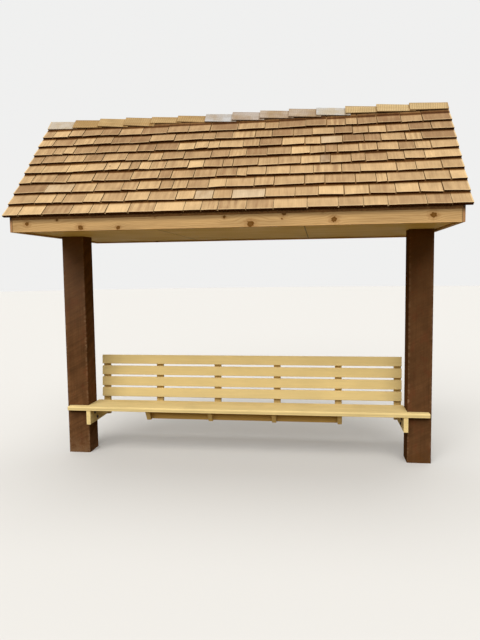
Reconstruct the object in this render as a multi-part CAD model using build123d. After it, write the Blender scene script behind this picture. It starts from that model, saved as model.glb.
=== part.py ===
"""Trailside shelter: a bench between two timber posts under a shingled gable roof.

Units are millimetres. X runs along the bench and the ridge, with +X to the right of
somebody who stands in front, Y runs from the front to the back, and Z is up from the
ground. The origin is on the ground, midway between the two posts.
"""
import os
from math import cos, radians, sin, tan

from build123d import *

# Posts
POST_SIZE = 203.0            # rough-sawn square timber
POST_SPACING = 3099.0        # centre to centre
POST_EDGE = 5.0              # eased long edges

# Seat
SEAT_HEIGHT = 452.0          # top of the plank above the ground
PLANK_THICKNESS = 38.0
PLANK_END_INSET = 18.0       # plank ends inside the posts' outer faces
PLANK_FRONT = 168.0          # front edge, forward of the posts' centre line
PLANK_REAR = 158.0           # rear edge, behind the posts' centre line
PLANK_ROUND = 12.0           # rounded-over upper edges
PLANK_UNDER_ROUND = 4.0      # lower edges, just eased
PLANK_CORNER = 16.0          # rounded corners in plan
POST_CLEARANCE = 1.5         # between the notches and the posts

# Seat frame
JOIST_THICKNESS = 38.0
END_JOIST_DEPTH = 130.0
MIDDLE_JOIST_DEPTH = 89.0
MIDDLE_JOIST_COUNT = 4
MIDDLE_JOIST_PITCH = 580.0
END_JOIST_SETBACK = 7.0      # joist end behind the front edge of the plank
MIDDLE_JOIST_SETBACK = 22.0
JOIST_RAKE = 55.0            # how far the foot of a middle joist's front end is cut back
BLOCKING_THICKNESS = 38.0
BLOCKING_SETBACK = 123.0     # front of the blocking behind the front edge of the plank
LUMBER_EDGE = 3.0            # eased long edges of planed lumber

# Back
BACK_LEAN = 4.0              # degrees from upright
SLAT_COUNT = 4
SLAT_HEIGHT = 87.0
SLAT_GAP = 21.0
SLAT_THICKNESS = 38.0
SLAT_EDGE = 4.0
SLAT_FOOT = 464.0            # lower front edge of the lowest slat
SLAT_FACE = 250.0            # the same edge, behind the posts' centre line
UPRIGHT_WIDTH = 64.0
UPRIGHT_THICKNESS = 38.0
UPRIGHT_TOP_SETBACK = 8.0    # top of the uprights below the top slat's edge

# Roof body
ROOF_SLOPE = 46.0            # degrees
SOFFIT_HEIGHT = 2021.0       # underside of the soffit above the ground
SOFFIT_THICKNESS = 12.0
SOFFIT_SEAM = 580.0          # seams left and right of the middle
SOFFIT_SEAM_GAP = 2.0
TRIM_DROP = 13.0             # fascias and gables reach below the soffit
FASCIA_THICKNESS = 38.0
FASCIA_FACE_HEIGHT = 93.0    # outer face, up to the deck's underside
ROOF_HALF_DEPTH = 885.0      # outer face of each fascia from the middle
ROOF_END_REACH = 59.0        # rake boards' outer faces past the posts' outer faces
GABLE_THICKNESS = 19.0
RAKE_THICKNESS = 19.0
RAKE_WIDTH = 140.0
BAND_HEIGHT = 89.0           # level board across the foot of a gable
TRIM_EDGE = 2.0              # eased edges of the boards round the roof
DECK_THICKNESS = 16.0

# Roof frame, closed in above the soffit
LUMBER = 38.0
RAFTER_DEPTH = 89.0
RAFTER_COUNT = 7
RIDGE_DEPTH = 140.0
HEADER_WIDTH = 76.0
HEADER_DEPTH = 184.0

# Shingles
EXPOSURE = 130.0             # the top course shows what is left below the caps
BUTT_THICKNESS = 16.0
COURSE_HEIGHT = 29.0         # outer edge of a butt above the deck
EAVE_OVERHANG = 6.0          # last butt past the lower edge of the deck, along the slope
SHINGLE_END_REACH = 50.0     # shingles and caps past the rake boards
CAP_WIDTH = 84.0             # down each slope from the ridge
CAP_EXPOSURE = 247.0
CAP_THICKNESS = 18.0
CAP_TAPER = 11.0             # a cap is thinner by this where the next one starts

# Sizes that follow from the ones above
post_half = POST_SIZE / 2
post_inner = POST_SPACING / 2 - post_half
post_outer = POST_SPACING / 2 + post_half
seat_bottom = SEAT_HEIGHT - PLANK_THICKNESS
blocking_face = -PLANK_FRONT + BLOCKING_SETBACK
soffit_top = SOFFIT_HEIGHT + SOFFIT_THICKNESS
trim_bottom = SOFFIT_HEIGHT - TRIM_DROP
fascia_inner = ROOF_HALF_DEPTH - FASCIA_THICKNESS
roof_half_length = post_outer + ROOF_END_REACH
gable_outer = roof_half_length - RAKE_THICKNESS
gable_inner = gable_outer - GABLE_THICKNESS
slope = radians(ROOF_SLOPE)
lean = radians(BACK_LEAN)
eave_run = ROOF_HALF_DEPTH / cos(slope)
last_butt = eave_run + EAVE_OVERHANG
course_count = round((last_butt - CAP_WIDTH) / EXPOSURE)
shingle_half_length = roof_half_length + SHINGLE_END_REACH
cap_count = int(2 * shingle_half_length / CAP_EXPOSURE)
rafter_apex = trim_bottom + FASCIA_FACE_HEIGHT + ROOF_HALF_DEPTH * tan(slope)
deck_apex = rafter_apex + DECK_THICKNESS / cos(slope)


def along_x(points, x_from, x_to):
    """A prism between two X positions, from (y, z) points of its outline."""
    outline = Polyline(*[(x_from, y, z) for y, z in points], close=True)
    return extrude(make_face(outline), amount=x_to - x_from, dir=(1, 0, 0))


def eased(shape, axis, radius, low=False):
    """Round the edges that lie along an axis, or only the lowest of them."""
    edges = shape.edges().filter_by(axis)
    return fillet(edges.group_by(Axis.Z)[0] if low else edges, radius)


def block(x_range, y_range, z_range):
    """A plain box between the given limits."""
    size = [high - low for low, high in (x_range, y_range, z_range)]
    middle = [(high + low) / 2 for low, high in (x_range, y_range, z_range)]
    return Pos(*middle) * Box(*size)


def on_slope(run, height):
    """The (y, z) point at a distance down the rear slope and a height over the deck."""
    y = run * cos(slope) + height * sin(slope)
    z = deck_apex - run * sin(slope) + height * cos(slope)
    return y, z


def to_front(shape):
    """The mirror image of a rear piece on the front slope."""
    return mirror(shape, about=Plane.XZ)


def to_left(shape):
    """The mirror image of a right-hand piece at the left end."""
    return mirror(shape, about=Plane.YZ)


def make_post():
    """The right-hand post, from the ground to the header beam."""
    middle = POST_SPACING / 2
    post = block(
        (middle - post_half, middle + post_half), (-post_half, post_half), (0, soffit_top)
    )
    return eased(post, Axis.Z, POST_EDGE)


def make_plank():
    """The seat plank: notched round the posts at both ends, with rounded edges."""
    end = post_outer - PLANK_END_INSET
    notch_x = post_inner - POST_CLEARANCE
    notch_y = -post_half - POST_CLEARANCE
    outline = Polyline(
        (-end, -PLANK_FRONT, seat_bottom),
        (end, -PLANK_FRONT, seat_bottom),
        (end, notch_y, seat_bottom),
        (notch_x, notch_y, seat_bottom),
        (notch_x, PLANK_REAR, seat_bottom),
        (-notch_x, PLANK_REAR, seat_bottom),
        (-notch_x, notch_y, seat_bottom),
        (-end, notch_y, seat_bottom),
        close=True,
    )
    plank = extrude(make_face(outline), amount=PLANK_THICKNESS, dir=(0, 0, 1))
    corners = plank.edges().filter_by(Axis.Z).group_by(Axis.Y)[0]
    plank = fillet(corners, PLANK_CORNER)
    front, rear = notch_y - POST_CLEARANCE, PLANK_REAR - POST_CLEARANCE
    for height, radius in ((SEAT_HEIGHT, PLANK_ROUND), (seat_bottom, PLANK_UNDER_ROUND)):
        rims = [
            edge
            for edge in plank.edges()
            if abs(edge.center().Z - height) < POST_CLEARANCE
            and not front < edge.center().Y < rear
        ]
        plank = fillet(rims, radius)
    return plank


def back_face(z, behind=0.0):
    """Y of the leaning back at a height, this far behind the front of the slats."""
    return SLAT_FACE + (z - SLAT_FOOT) * tan(lean) + behind / cos(lean)


def make_joist(x, depth, front, rake):
    """A seat joist whose rear end is cut to the lean of the uprights it carries."""
    foot = seat_bottom - depth
    outline = [
        (front, seat_bottom),
        (back_face(seat_bottom, SLAT_THICKNESS), seat_bottom),
        (back_face(foot, SLAT_THICKNESS), foot),
        (front + rake, foot),
    ]
    joist = along_x(outline, x - JOIST_THICKNESS / 2, x + JOIST_THICKNESS / 2)
    return eased(joist, Axis.Y, LUMBER_EDGE, low=True)


def make_blocking(x_from, x_to):
    """A board that stiffens the seat between two middle joists."""
    board = block(
        (x_from, x_to),
        (blocking_face, blocking_face + BLOCKING_THICKNESS),
        (seat_bottom - MIDDLE_JOIST_DEPTH, seat_bottom),
    )
    return eased(board, Axis.X, LUMBER_EDGE, low=True)


def leaning(shape):
    """Put a piece drawn over the lowest slat's front edge in place, leaning back."""
    return Pos(0, SLAT_FACE, SLAT_FOOT) * Rot(X=-BACK_LEAN) * shape


def make_upright(x, depth):
    """A back upright from the foot of its joist nearly to the top of the slats."""
    foot = (seat_bottom - depth - SLAT_FOOT) / cos(lean)
    top = SLAT_COUNT * SLAT_HEIGHT + (SLAT_COUNT - 1) * SLAT_GAP - UPRIGHT_TOP_SETBACK
    x_range = (x - UPRIGHT_WIDTH / 2, x + UPRIGHT_WIDTH / 2)
    y_range = (SLAT_THICKNESS, SLAT_THICKNESS + UPRIGHT_THICKNESS)
    return leaning(eased(block(x_range, y_range, (foot, top)), Axis.Z, LUMBER_EDGE))


def make_slat(index):
    """A back slat, counted from the top, with eased long edges."""
    foot = (SLAT_COUNT - 1 - index) * (SLAT_HEIGHT + SLAT_GAP)
    slat = block((-post_inner, post_inner), (0, SLAT_THICKNESS), (foot, foot + SLAT_HEIGHT))
    return leaning(eased(slat, Axis.X, SLAT_EDGE))


def make_end_soffit():
    """The right-hand soffit panel, with the hole that the post passes through."""
    panel = block(
        (SOFFIT_SEAM + SOFFIT_SEAM_GAP / 2, gable_inner),
        (-fascia_inner, fascia_inner),
        (SOFFIT_HEIGHT, soffit_top),
    )
    reach = post_half + POST_CLEARANCE
    middle = POST_SPACING / 2
    hole = block((middle - reach, middle + reach), (-reach, reach), (SOFFIT_HEIGHT, soffit_top))
    return panel - hole


def make_fascia():
    """The rear fascia, its top bevelled to carry the deck."""
    outline = [
        (fascia_inner, trim_bottom),
        (ROOF_HALF_DEPTH, trim_bottom),
        (ROOF_HALF_DEPTH, rafter_apex - ROOF_HALF_DEPTH * tan(slope)),
        (fascia_inner, rafter_apex - fascia_inner * tan(slope)),
    ]
    fascia = along_x(outline, -gable_outer, gable_outer)
    ends = fascia.faces().sort_by(Axis.Y)[-1].edges().filter_by(Axis.Z)
    return fillet(ends + fascia.edges().filter_by(Axis.X).group_by(Axis.Z)[0], TRIM_EDGE)


def ease_outside(board):
    """Ease the edges round the outer face of a board on the right-hand gable."""
    return fillet(board.faces().sort_by(Axis.X)[-1].edges(), TRIM_EDGE)


def make_gable():
    """The right-hand gable panel, closed up to the underside of the deck."""
    eave = rafter_apex - fascia_inner * tan(slope)
    outline = [
        (-fascia_inner, trim_bottom),
        (fascia_inner, trim_bottom),
        (fascia_inner, eave),
        (0, rafter_apex),
        (-fascia_inner, eave),
    ]
    return along_x(outline, gable_inner, gable_outer)


rake_drop = RAKE_WIDTH / cos(slope)
rake_foot = (deck_apex - rake_drop - trim_bottom) / tan(slope)


def make_rake():
    """The rear rake board at the right: plumb at the ridge and eave, level at its foot."""
    outline = [
        (0, deck_apex),
        (ROOF_HALF_DEPTH, deck_apex - ROOF_HALF_DEPTH * tan(slope)),
        (ROOF_HALF_DEPTH, trim_bottom),
        (rake_foot, trim_bottom),
        (0, deck_apex - rake_drop),
    ]
    return ease_outside(along_x(outline, gable_outer, roof_half_length))


def make_band():
    """The level board between the feet of the rake boards on the right-hand gable."""
    top = rake_foot - BAND_HEIGHT / tan(slope)
    outline = [
        (-rake_foot, trim_bottom),
        (rake_foot, trim_bottom),
        (top, trim_bottom + BAND_HEIGHT),
        (-top, trim_bottom + BAND_HEIGHT),
    ]
    return ease_outside(along_x(outline, gable_outer, roof_half_length))


def make_deck():
    """The rear roof deck, from the ridge to the outer face of the fascia."""
    outline = [
        (0, deck_apex),
        (ROOF_HALF_DEPTH, deck_apex - ROOF_HALF_DEPTH * tan(slope)),
        (ROOF_HALF_DEPTH, rafter_apex - ROOF_HALF_DEPTH * tan(slope)),
        (0, rafter_apex),
    ]
    return along_x(outline, -gable_outer, gable_outer)


def make_rafter(x):
    """A rear rafter, from the ridge board to the fascia, level over the soffit."""
    low = rafter_apex - RAFTER_DEPTH / cos(slope)
    ridge = LUMBER / 2
    outline = [
        (ridge, rafter_apex - ridge * tan(slope)),
        (fascia_inner, rafter_apex - fascia_inner * tan(slope)),
        (fascia_inner, soffit_top),
        ((low - soffit_top) / tan(slope), soffit_top),
        (ridge, low - ridge * tan(slope)),
    ]
    return along_x(outline, x - LUMBER / 2, x + LUMBER / 2)


def make_ceiling_joist(x):
    """A rear ceiling joist from the header beam to the fascia, beside its rafter."""
    beside = x - LUMBER if x > 0 else x + LUMBER
    return block(
        (beside - LUMBER / 2, beside + LUMBER / 2),
        (HEADER_WIDTH / 2, fascia_inner),
        (soffit_top, soffit_top + RAFTER_DEPTH),
    )


def make_courses():
    """The rear shingle courses: one stepped slab, a step at each row of butts."""
    step = COURSE_HEIGHT - BUTT_THICKNESS
    profile = [(0.0, 0.0), (last_butt, 0.0)]
    for index in range(course_count):
        butt = last_butt - index * EXPOSURE
        profile.append((butt, COURSE_HEIGHT))
        profile.append((butt - EXPOSURE, step))
    profile.append((-step * tan(slope), step))
    outline = [on_slope(run, height) for run, height in profile]
    return along_x(outline, -shingle_half_length, shingle_half_length)


def make_caps():
    """The rear half of the ridge caps, each with its thick end over the one to its left."""
    seat = COURSE_HEIGHT - BUTT_THICKNESS
    profile = [(-shingle_half_length, seat), (-shingle_half_length, seat + CAP_THICKNESS)]
    for index in range(1, cap_count):
        x = -shingle_half_length + index * CAP_EXPOSURE
        profile.append((x, seat + CAP_THICKNESS - CAP_TAPER))
        profile.append((x, seat + CAP_THICKNESS))
    profile.append((shingle_half_length, seat + CAP_THICKNESS - CAP_TAPER))
    profile.append((shingle_half_length, seat))
    overlap = (seat + CAP_THICKNESS) * tan(slope)
    points = []
    for x, height in profile:
        y, z = on_slope(-overlap, height)
        points.append((x, y, z))
    strip = extrude(
        make_face(Polyline(*points, close=True)),
        amount=overlap + CAP_WIDTH,
        dir=(0, cos(slope), -sin(slope)),
    )
    span = 2 * shingle_half_length
    behind = Pos(0, ROOF_HALF_DEPTH / 2, deck_apex) * Box(span, ROOF_HALF_DEPTH, ROOF_HALF_DEPTH)
    return strip & behind


def build():
    """Every piece of the shelter, by name."""
    nodes = {}
    nodes["right_post"] = make_post()
    nodes["left_post"] = to_left(nodes["right_post"])

    nodes["seat_plank"] = make_plank()
    end_joist_x = post_inner - JOIST_THICKNESS / 2
    middle_span = (MIDDLE_JOIST_COUNT - 1) * MIDDLE_JOIST_PITCH
    middle_xs = [
        place * MIDDLE_JOIST_PITCH - middle_span / 2 for place in range(MIDDLE_JOIST_COUNT)
    ]
    joist_xs = [-end_joist_x] + middle_xs + [end_joist_x]
    end_joist = (END_JOIST_DEPTH, -PLANK_FRONT + END_JOIST_SETBACK, 0.0)
    middle_joist = (MIDDLE_JOIST_DEPTH, -PLANK_FRONT + MIDDLE_JOIST_SETBACK, JOIST_RAKE)
    joist_cuts = [end_joist] + [middle_joist] * len(middle_xs) + [end_joist]
    for number, (x, cut) in enumerate(zip(joist_xs, joist_cuts), start=1):
        nodes[f"seat_joist_{number}"] = make_joist(x, *cut)
    half = JOIST_THICKNESS / 2
    bays = zip(middle_xs[:-1], middle_xs[1:])
    nodes["seat_blocking"] = Compound(
        children=[make_blocking(x_from + half, x_to - half) for x_from, x_to in bays]
    )

    end_upright_x = post_inner - UPRIGHT_WIDTH / 2
    upright_xs = [-end_upright_x] + middle_xs + [end_upright_x]
    for number, (x, cut) in enumerate(zip(upright_xs, joist_cuts), start=1):
        nodes[f"back_upright_{number}"] = make_upright(x, cut[0])
    for index in range(SLAT_COUNT):
        nodes[f"back_slat_{index + 1}"] = make_slat(index)

    nodes["soffit_right"] = make_end_soffit()
    nodes["soffit_left"] = to_left(nodes["soffit_right"])
    seam = SOFFIT_SEAM - SOFFIT_SEAM_GAP / 2
    nodes["soffit_middle"] = block(
        (-seam, seam), (-fascia_inner, fascia_inner), (SOFFIT_HEIGHT, soffit_top)
    )

    nodes["header_beam"] = block(
        (-gable_inner, gable_inner),
        (-HEADER_WIDTH / 2, HEADER_WIDTH / 2),
        (soffit_top, soffit_top + HEADER_DEPTH),
    )
    ridge_top = rafter_apex - LUMBER / 2 * tan(slope)
    nodes["ridge_board"] = block(
        (-gable_inner, gable_inner),
        (-LUMBER / 2, LUMBER / 2),
        (ridge_top - RIDGE_DEPTH, ridge_top),
    )
    reach = gable_inner - LUMBER / 2
    pitch = 2 * reach / (RAFTER_COUNT - 1)
    rafter_xs = [-reach + pitch * index for index in range(RAFTER_COUNT)]
    rear_rafters = Compound(children=[make_rafter(x) for x in rafter_xs])
    rear_ceiling = Compound(children=[make_ceiling_joist(x) for x in rafter_xs])
    nodes["rear_rafters"] = rear_rafters
    nodes["front_rafters"] = to_front(rear_rafters)
    nodes["rear_ceiling_joists"] = rear_ceiling
    nodes["front_ceiling_joists"] = to_front(rear_ceiling)

    nodes["rear_fascia"] = make_fascia()
    nodes["right_gable_panel"] = make_gable()
    nodes["right_gable_band"] = make_band()
    nodes["right_rear_rake"] = make_rake()
    nodes["right_front_rake"] = to_front(nodes["right_rear_rake"])
    for name in ("gable_panel", "gable_band", "rear_rake", "front_rake"):
        nodes[f"left_{name}"] = to_left(nodes[f"right_{name}"])
    nodes["rear_deck"] = make_deck()
    nodes["rear_shingles"] = make_courses()
    nodes["rear_ridge_caps"] = make_caps()
    for name in ("fascia", "deck", "shingles", "ridge_caps"):
        nodes[f"front_{name}"] = to_front(nodes[f"rear_{name}"])
    return nodes


os.makedirs("parts", exist_ok=True)
for node_name, node_shape in build().items():
    export_step(node_shape, f"parts/{node_name}.step")
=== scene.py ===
"""Finishes, shingles, ridge caps, gable boards and fasteners of the trailside shelter.

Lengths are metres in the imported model's frame: X runs along the bench and the ridge, Y from
the open front to the slatted back, and Z is up from the ground.
"""
from __future__ import annotations

import logging
import random
from dataclasses import dataclass, field, replace
from enum import Enum
from math import cos, pi, radians, sin
from typing import Any, Callable, Protocol, Sequence

import bmesh
import bpy
from mathutils import Matrix, Vector

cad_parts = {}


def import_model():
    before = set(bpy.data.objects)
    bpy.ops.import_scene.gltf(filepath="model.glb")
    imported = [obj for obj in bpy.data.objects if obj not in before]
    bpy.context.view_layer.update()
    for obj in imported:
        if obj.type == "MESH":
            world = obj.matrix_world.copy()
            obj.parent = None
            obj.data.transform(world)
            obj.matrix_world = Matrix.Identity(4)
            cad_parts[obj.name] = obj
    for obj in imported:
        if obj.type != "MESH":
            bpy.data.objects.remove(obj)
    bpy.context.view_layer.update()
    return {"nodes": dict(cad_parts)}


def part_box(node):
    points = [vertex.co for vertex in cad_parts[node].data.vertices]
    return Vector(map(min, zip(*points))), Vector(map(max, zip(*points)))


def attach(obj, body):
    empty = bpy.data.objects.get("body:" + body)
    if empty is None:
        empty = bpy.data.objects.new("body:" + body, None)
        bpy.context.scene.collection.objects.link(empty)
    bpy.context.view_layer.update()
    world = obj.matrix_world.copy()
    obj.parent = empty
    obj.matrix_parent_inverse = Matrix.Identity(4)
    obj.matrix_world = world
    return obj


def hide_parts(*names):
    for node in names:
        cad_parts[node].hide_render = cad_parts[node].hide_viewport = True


log = logging.getLogger("shelter")

BMesh = bmesh.types.BMesh
Material = bpy.types.Material
Mesh = bpy.types.Mesh
Socket = bpy.types.NodeSocket
Color = tuple[float, float, float]
Point = tuple[float, float, float]
Span = tuple[float, float]
Placing = Callable[[Vector], Vector]

BODY = "root"
ROOF_SLOPE = radians(46.0)
BACK_LEAN = radians(4.0)
ORIGIN: Point = (0.0, 0.0, 0.0)
NOISE_SPAN: Span = (0.3, 0.7)
FIBRE_SPAN: Span = (0.25, 0.75)
GRAIN_SPAN: Span = (0.0, 40.0)
FACING = 0.8
TOUCHING = 1e-5


class Side(Enum):
    """A slope of the roof, with the sign of Y on it."""

    FRONT = -1
    REAR = 1


class Grain(Enum):
    """Which way a board lies, as the turn that brings its length to X and its thickness to Y."""

    ALONG_X = (0.0, 0.0, 0.0)
    ALONG_Y = (0.0, 0.0, -pi / 2)
    UPRIGHT = (0.0, pi / 2, 0.0)
    UPRIGHT_ON_GABLE = (pi / 2, 0.0, pi / 2)
    DOWN_REAR_RAKE = (ROOF_SLOPE, 0.0, -pi / 2)
    DOWN_FRONT_RAKE = (-ROOF_SLOPE, 0.0, -pi / 2)


class CapTone(Enum):
    """How a ridge cap has weathered: its lightness, its blush and its silvering."""

    CREAM = (0.68, 0.0, 0.55)
    TAN = (0.06, 0.0, 0.0)
    GOLDEN = (0.27, 0.0, 0.0)
    HONEY = (0.64, 0.0, 0.0)
    SILVER = (0.15, 0.0, 0.90)
    GREY_TAN = (0.0, 0.30, 0.58)
    PINKISH = (0.04, 0.40, 0.40)
    PALE_GREY = (1.0, 0.0, 0.95)


@dataclass(frozen=True)
class Pattern:
    """Smooth noise: how many features a metre along X, Y and Z, its detail and its roughness."""

    per_metre: Point
    detail: float = 3.0
    rough: float = 0.6
    shift: Point = ORIGIN


@dataclass(frozen=True)
class Mark:
    """A small dark mark on the wood: where it is and its radius."""

    place: Point
    radius: float


class Graph:
    """The node tree of a material or a world, built from short named steps."""

    def __init__(self, name: str, library: Any = None) -> None:
        """Start an empty tree.

        Args:
            name: The name of what the tree belongs to.
            library: Blender's worlds for a world, or none for a material.
        """
        self.owner = (bpy.data.materials if library is None else library).new(name)
        self.owner.use_nodes = True
        self.tree = self.owner.node_tree
        self.tree.nodes.clear()

    def node(self, kind: str, **settings: Any) -> bpy.types.Node:
        """Add a node.

        Args:
            kind: The node's type name.
            settings: Properties to set on it.

        Returns:
            The node.
        """
        made = self.tree.nodes.new(kind)
        for key, value in settings.items():
            setattr(made, key, value)
        return made

    def feed(self, socket: Socket, value: Any) -> None:
        """Link a socket to another socket, or set its own value.

        Args:
            socket: The input.
            value: An output socket, a number, a vector or a colour.
        """
        if isinstance(value, Socket):
            self.tree.links.new(value, socket)
        elif socket.type == "RGBA":
            socket.default_value = (*value, 1.0)
        else:
            socket.default_value = value

    def object_space(self) -> Socket:
        """Give the place of the shaded point in the shelter's frame."""
        return self.node("ShaderNodeTexCoord").outputs["Object"]

    def uv(self, name: str) -> Socket:
        """Give the piece's own map of this name."""
        return self.node("ShaderNodeUVMap", uv_map=name).outputs["UV"]

    def step(self, kind: str, *values: Any, **settings: Any) -> Any:
        """Add a node and feed its first inputs.

        Args:
            kind: The node's type name.
            values: What goes into its first inputs, in their order.
            settings: Properties to set on it.

        Returns:
            The node's outputs.
        """
        made = self.node(kind, **settings)
        for socket, value in zip(made.inputs, values):
            self.feed(socket, value)
        return made.outputs

    def turned(self, vector: Any, turn: Point) -> Socket:
        """Turn a vector about X, Y and Z."""
        return self.step("ShaderNodeMapping", vector, ORIGIN, turn)[0]

    def noise(self, vector: Any, pattern: Pattern) -> Socket:
        """Give the noise of a pattern at a point.

        Args:
            vector: The point.
            pattern: The noise's features.

        Returns:
            The noise, 0 to 1.
        """
        placed = (vector, pattern.shift, ORIGIN, pattern.per_metre)
        made = self.node("ShaderNodeTexNoise")
        self.feed(made.inputs["Vector"], self.step("ShaderNodeMapping", *placed)[0])
        made.inputs["Scale"].default_value = 1.0
        made.inputs["Detail"].default_value = pattern.detail
        made.inputs["Roughness"].default_value = pattern.rough
        return made.outputs["Fac"]

    def math(self, operation: str, a: Any, b: Any = 0.0, clamp: bool = False) -> Socket:
        """Do one arithmetic step on a number or two, and clamp it to 0 and 1 if asked."""
        return self.step("ShaderNodeMath", a, b, operation=operation, use_clamp=clamp)[0]

    def product(self, a: Any, b: Any) -> Socket:
        """Multiply two numbers."""
        return self.math("MULTIPLY", a, b)

    def total(self, a: Any, b: Any) -> Socket:
        """Add two numbers."""
        return self.math("ADD", a, b)

    def larger(self, a: Any, b: Any) -> Socket:
        """Give the larger of two numbers."""
        return self.math("MAXIMUM", a, b)

    def apart(self, a: Any, b: Any = 0.0) -> Socket:
        """Give how far apart two numbers are, or how far one is from zero."""
        return self.math("ABSOLUTE", self.math("SUBTRACT", a, b))

    def between_vectors(self, operation: str, a: Any, b: Any) -> Socket:
        """Do one step between two vectors or colours."""
        return self.step("ShaderNodeVectorMath", a, b, operation=operation)["Vector"]

    def scaled(self, vector: Any, factor: Any) -> Socket:
        """Multiply a vector or a colour by a number."""
        values = (vector, ORIGIN, ORIGIN, factor)
        return self.step("ShaderNodeVectorMath", *values, operation="SCALE")["Vector"]

    def length(self, vector: Any) -> Socket:
        """Give the length of a vector."""
        return self.step("ShaderNodeVectorMath", vector, operation="LENGTH")["Value"]

    def split(self, vector: Any) -> tuple[Socket, ...]:
        """Give the X, Y and Z of a vector."""
        return tuple(self.step("ShaderNodeSeparateXYZ", vector))

    def channels(self, color: Any) -> tuple[Socket, ...]:
        """Give the three channels of a colour."""
        return tuple(self.step("ShaderNodeSeparateColor", color))

    def join(self, x: Any, y: Any, z: Any) -> Socket:
        """Make a vector of three numbers."""
        return self.step("ShaderNodeCombineXYZ", x, y, z)[0]

    def remap(self, value: Any, source: Span, target: Span = (0.0, 1.0)) -> Socket:
        """Bring a number smoothly from one range to another, clamped at both ends."""
        settings = {"interpolation_type": "SMOOTHSTEP", "clamp": True}
        return self.step("ShaderNodeMapRange", value, *source, *target, **settings)["Result"]

    def mix(self, factor: Any, a: Any, b: Any) -> Socket:
        """Blend two colours.

        Args:
            factor: The share of the second.
            a: The first colour.
            b: The second colour.

        Returns:
            The blend.
        """
        made = self.node("ShaderNodeMix", data_type="RGBA", blend_type="MIX", clamp_factor=True)
        self.feed(made.inputs[0], factor)
        self.feed(made.inputs[6], a)
        self.feed(made.inputs[7], b)
        return made.outputs[2]

    def varied(self, color: Any, value: Any, amounts: Span, source: Span = NOISE_SPAN) -> Socket:
        """Darken and lighten a colour over the surface.

        Args:
            color: The colour.
            value: What the change follows.
            amounts: The factors at the ends of its range.
            source: The range of that value.

        Returns:
            The new colour.
        """
        return self.scaled(color, self.remap(value, source, amounts))

    def spot(self, place: Any, mark: Mark, strength: float) -> Socket:
        """Give a round spot, strong in the middle and soft at its rim.

        Args:
            place: The shaded point.
            mark: The spot's middle and radius.
            strength: Its value in the middle.

        Returns:
            The spot's value at the point.
        """
        away = self.length(self.between_vectors("SUBTRACT", place, mark.place))
        return self.remap(away, (mark.radius * 0.5, mark.radius), (strength, 0.0))

    def waves(self, along: Any, pitch: float) -> Socket:
        """Give ridges, 0 to 1, at a pitch along a coordinate."""
        wave = self.math("SINE", self.product(along, 2 * pi / pitch))
        return self.total(self.product(wave, 0.5), 0.5)

    def saw_tinted(self, color: Any, ridges: Any, source: Span, tint: float, strong: Any) -> Socket:
        """Lighten the ridges and darken the hollows that a saw left.

        Args:
            color: The wood's colour so far.
            ridges: The ridges, 0 to 1.
            source: The range of the ridges that counts.
            tint: How far the colour changes, up and down.
            strong: Where the marks are strong, 0 to 1.

        Returns:
            The new colour.
        """
        change = self.product(self.remap(ridges, source, (-tint, tint)), strong)
        return self.scaled(color, self.total(change, 1.0))

    def bump(self, height: Any, distance: float, under: Any = None) -> Socket:
        """Give a normal that follows a relief.

        Args:
            height: The relief, 0 to 1.
            distance: Its depth in metres.
            under: A normal that it is added to.

        Returns:
            The normal.
        """
        made = self.node("ShaderNodeBump")
        self.feed(made.inputs["Height"], height)
        made.inputs["Distance"].default_value = distance
        made.inputs["Strength"].default_value = 1.0
        if under is not None:
            self.feed(made.inputs["Normal"], under)
        return made.outputs["Normal"]

    def surface(
        self, color: Any, roughness: Any, normal: Any, specular: float = 0.3, metallic: float = 0.0
    ) -> Material:
        """End the tree in a shader.

        Args:
            color: The base colour.
            roughness: The roughness.
            normal: The normal.
            specular: The strength of the sheen.
            metallic: One for bare metal.

        Returns:
            The material.
        """
        shader = self.node("ShaderNodeBsdfPrincipled")
        self.feed(shader.inputs["Base Color"], color)
        self.feed(shader.inputs["Roughness"], roughness)
        self.feed(shader.inputs["Normal"], normal)
        shader.inputs["Specular IOR Level"].default_value = specular
        shader.inputs["Metallic"].default_value = metallic
        return self.end_in(shader.outputs[0])

    def end_in(self, shader: Socket, kind: str = "ShaderNodeOutputMaterial") -> Any:
        """Link the last shader to an output, and give the material or world."""
        self.step(kind, shader)
        return self.owner

    def seen_or_lit(self, seen: Socket, lit: Socket) -> Socket:
        """Choose between two shaders by the kind of ray.

        Args:
            seen: What the camera, gloss and glass show.
            lit: What lights the other surfaces.

        Returns:
            The one that suits the ray.
        """
        rays = self.node("ShaderNodeLightPath").outputs
        shown = self.larger(rays["Is Camera Ray"], rays["Is Glossy Ray"])
        shown = self.larger(shown, rays["Is Transmission Ray"])
        return self.step("ShaderNodeMixShader", shown, lit, seen)[0]


class Finish(Protocol):
    """Whatever can be built into a material."""

    def material(self) -> Material:
        """Build the material."""


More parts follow.
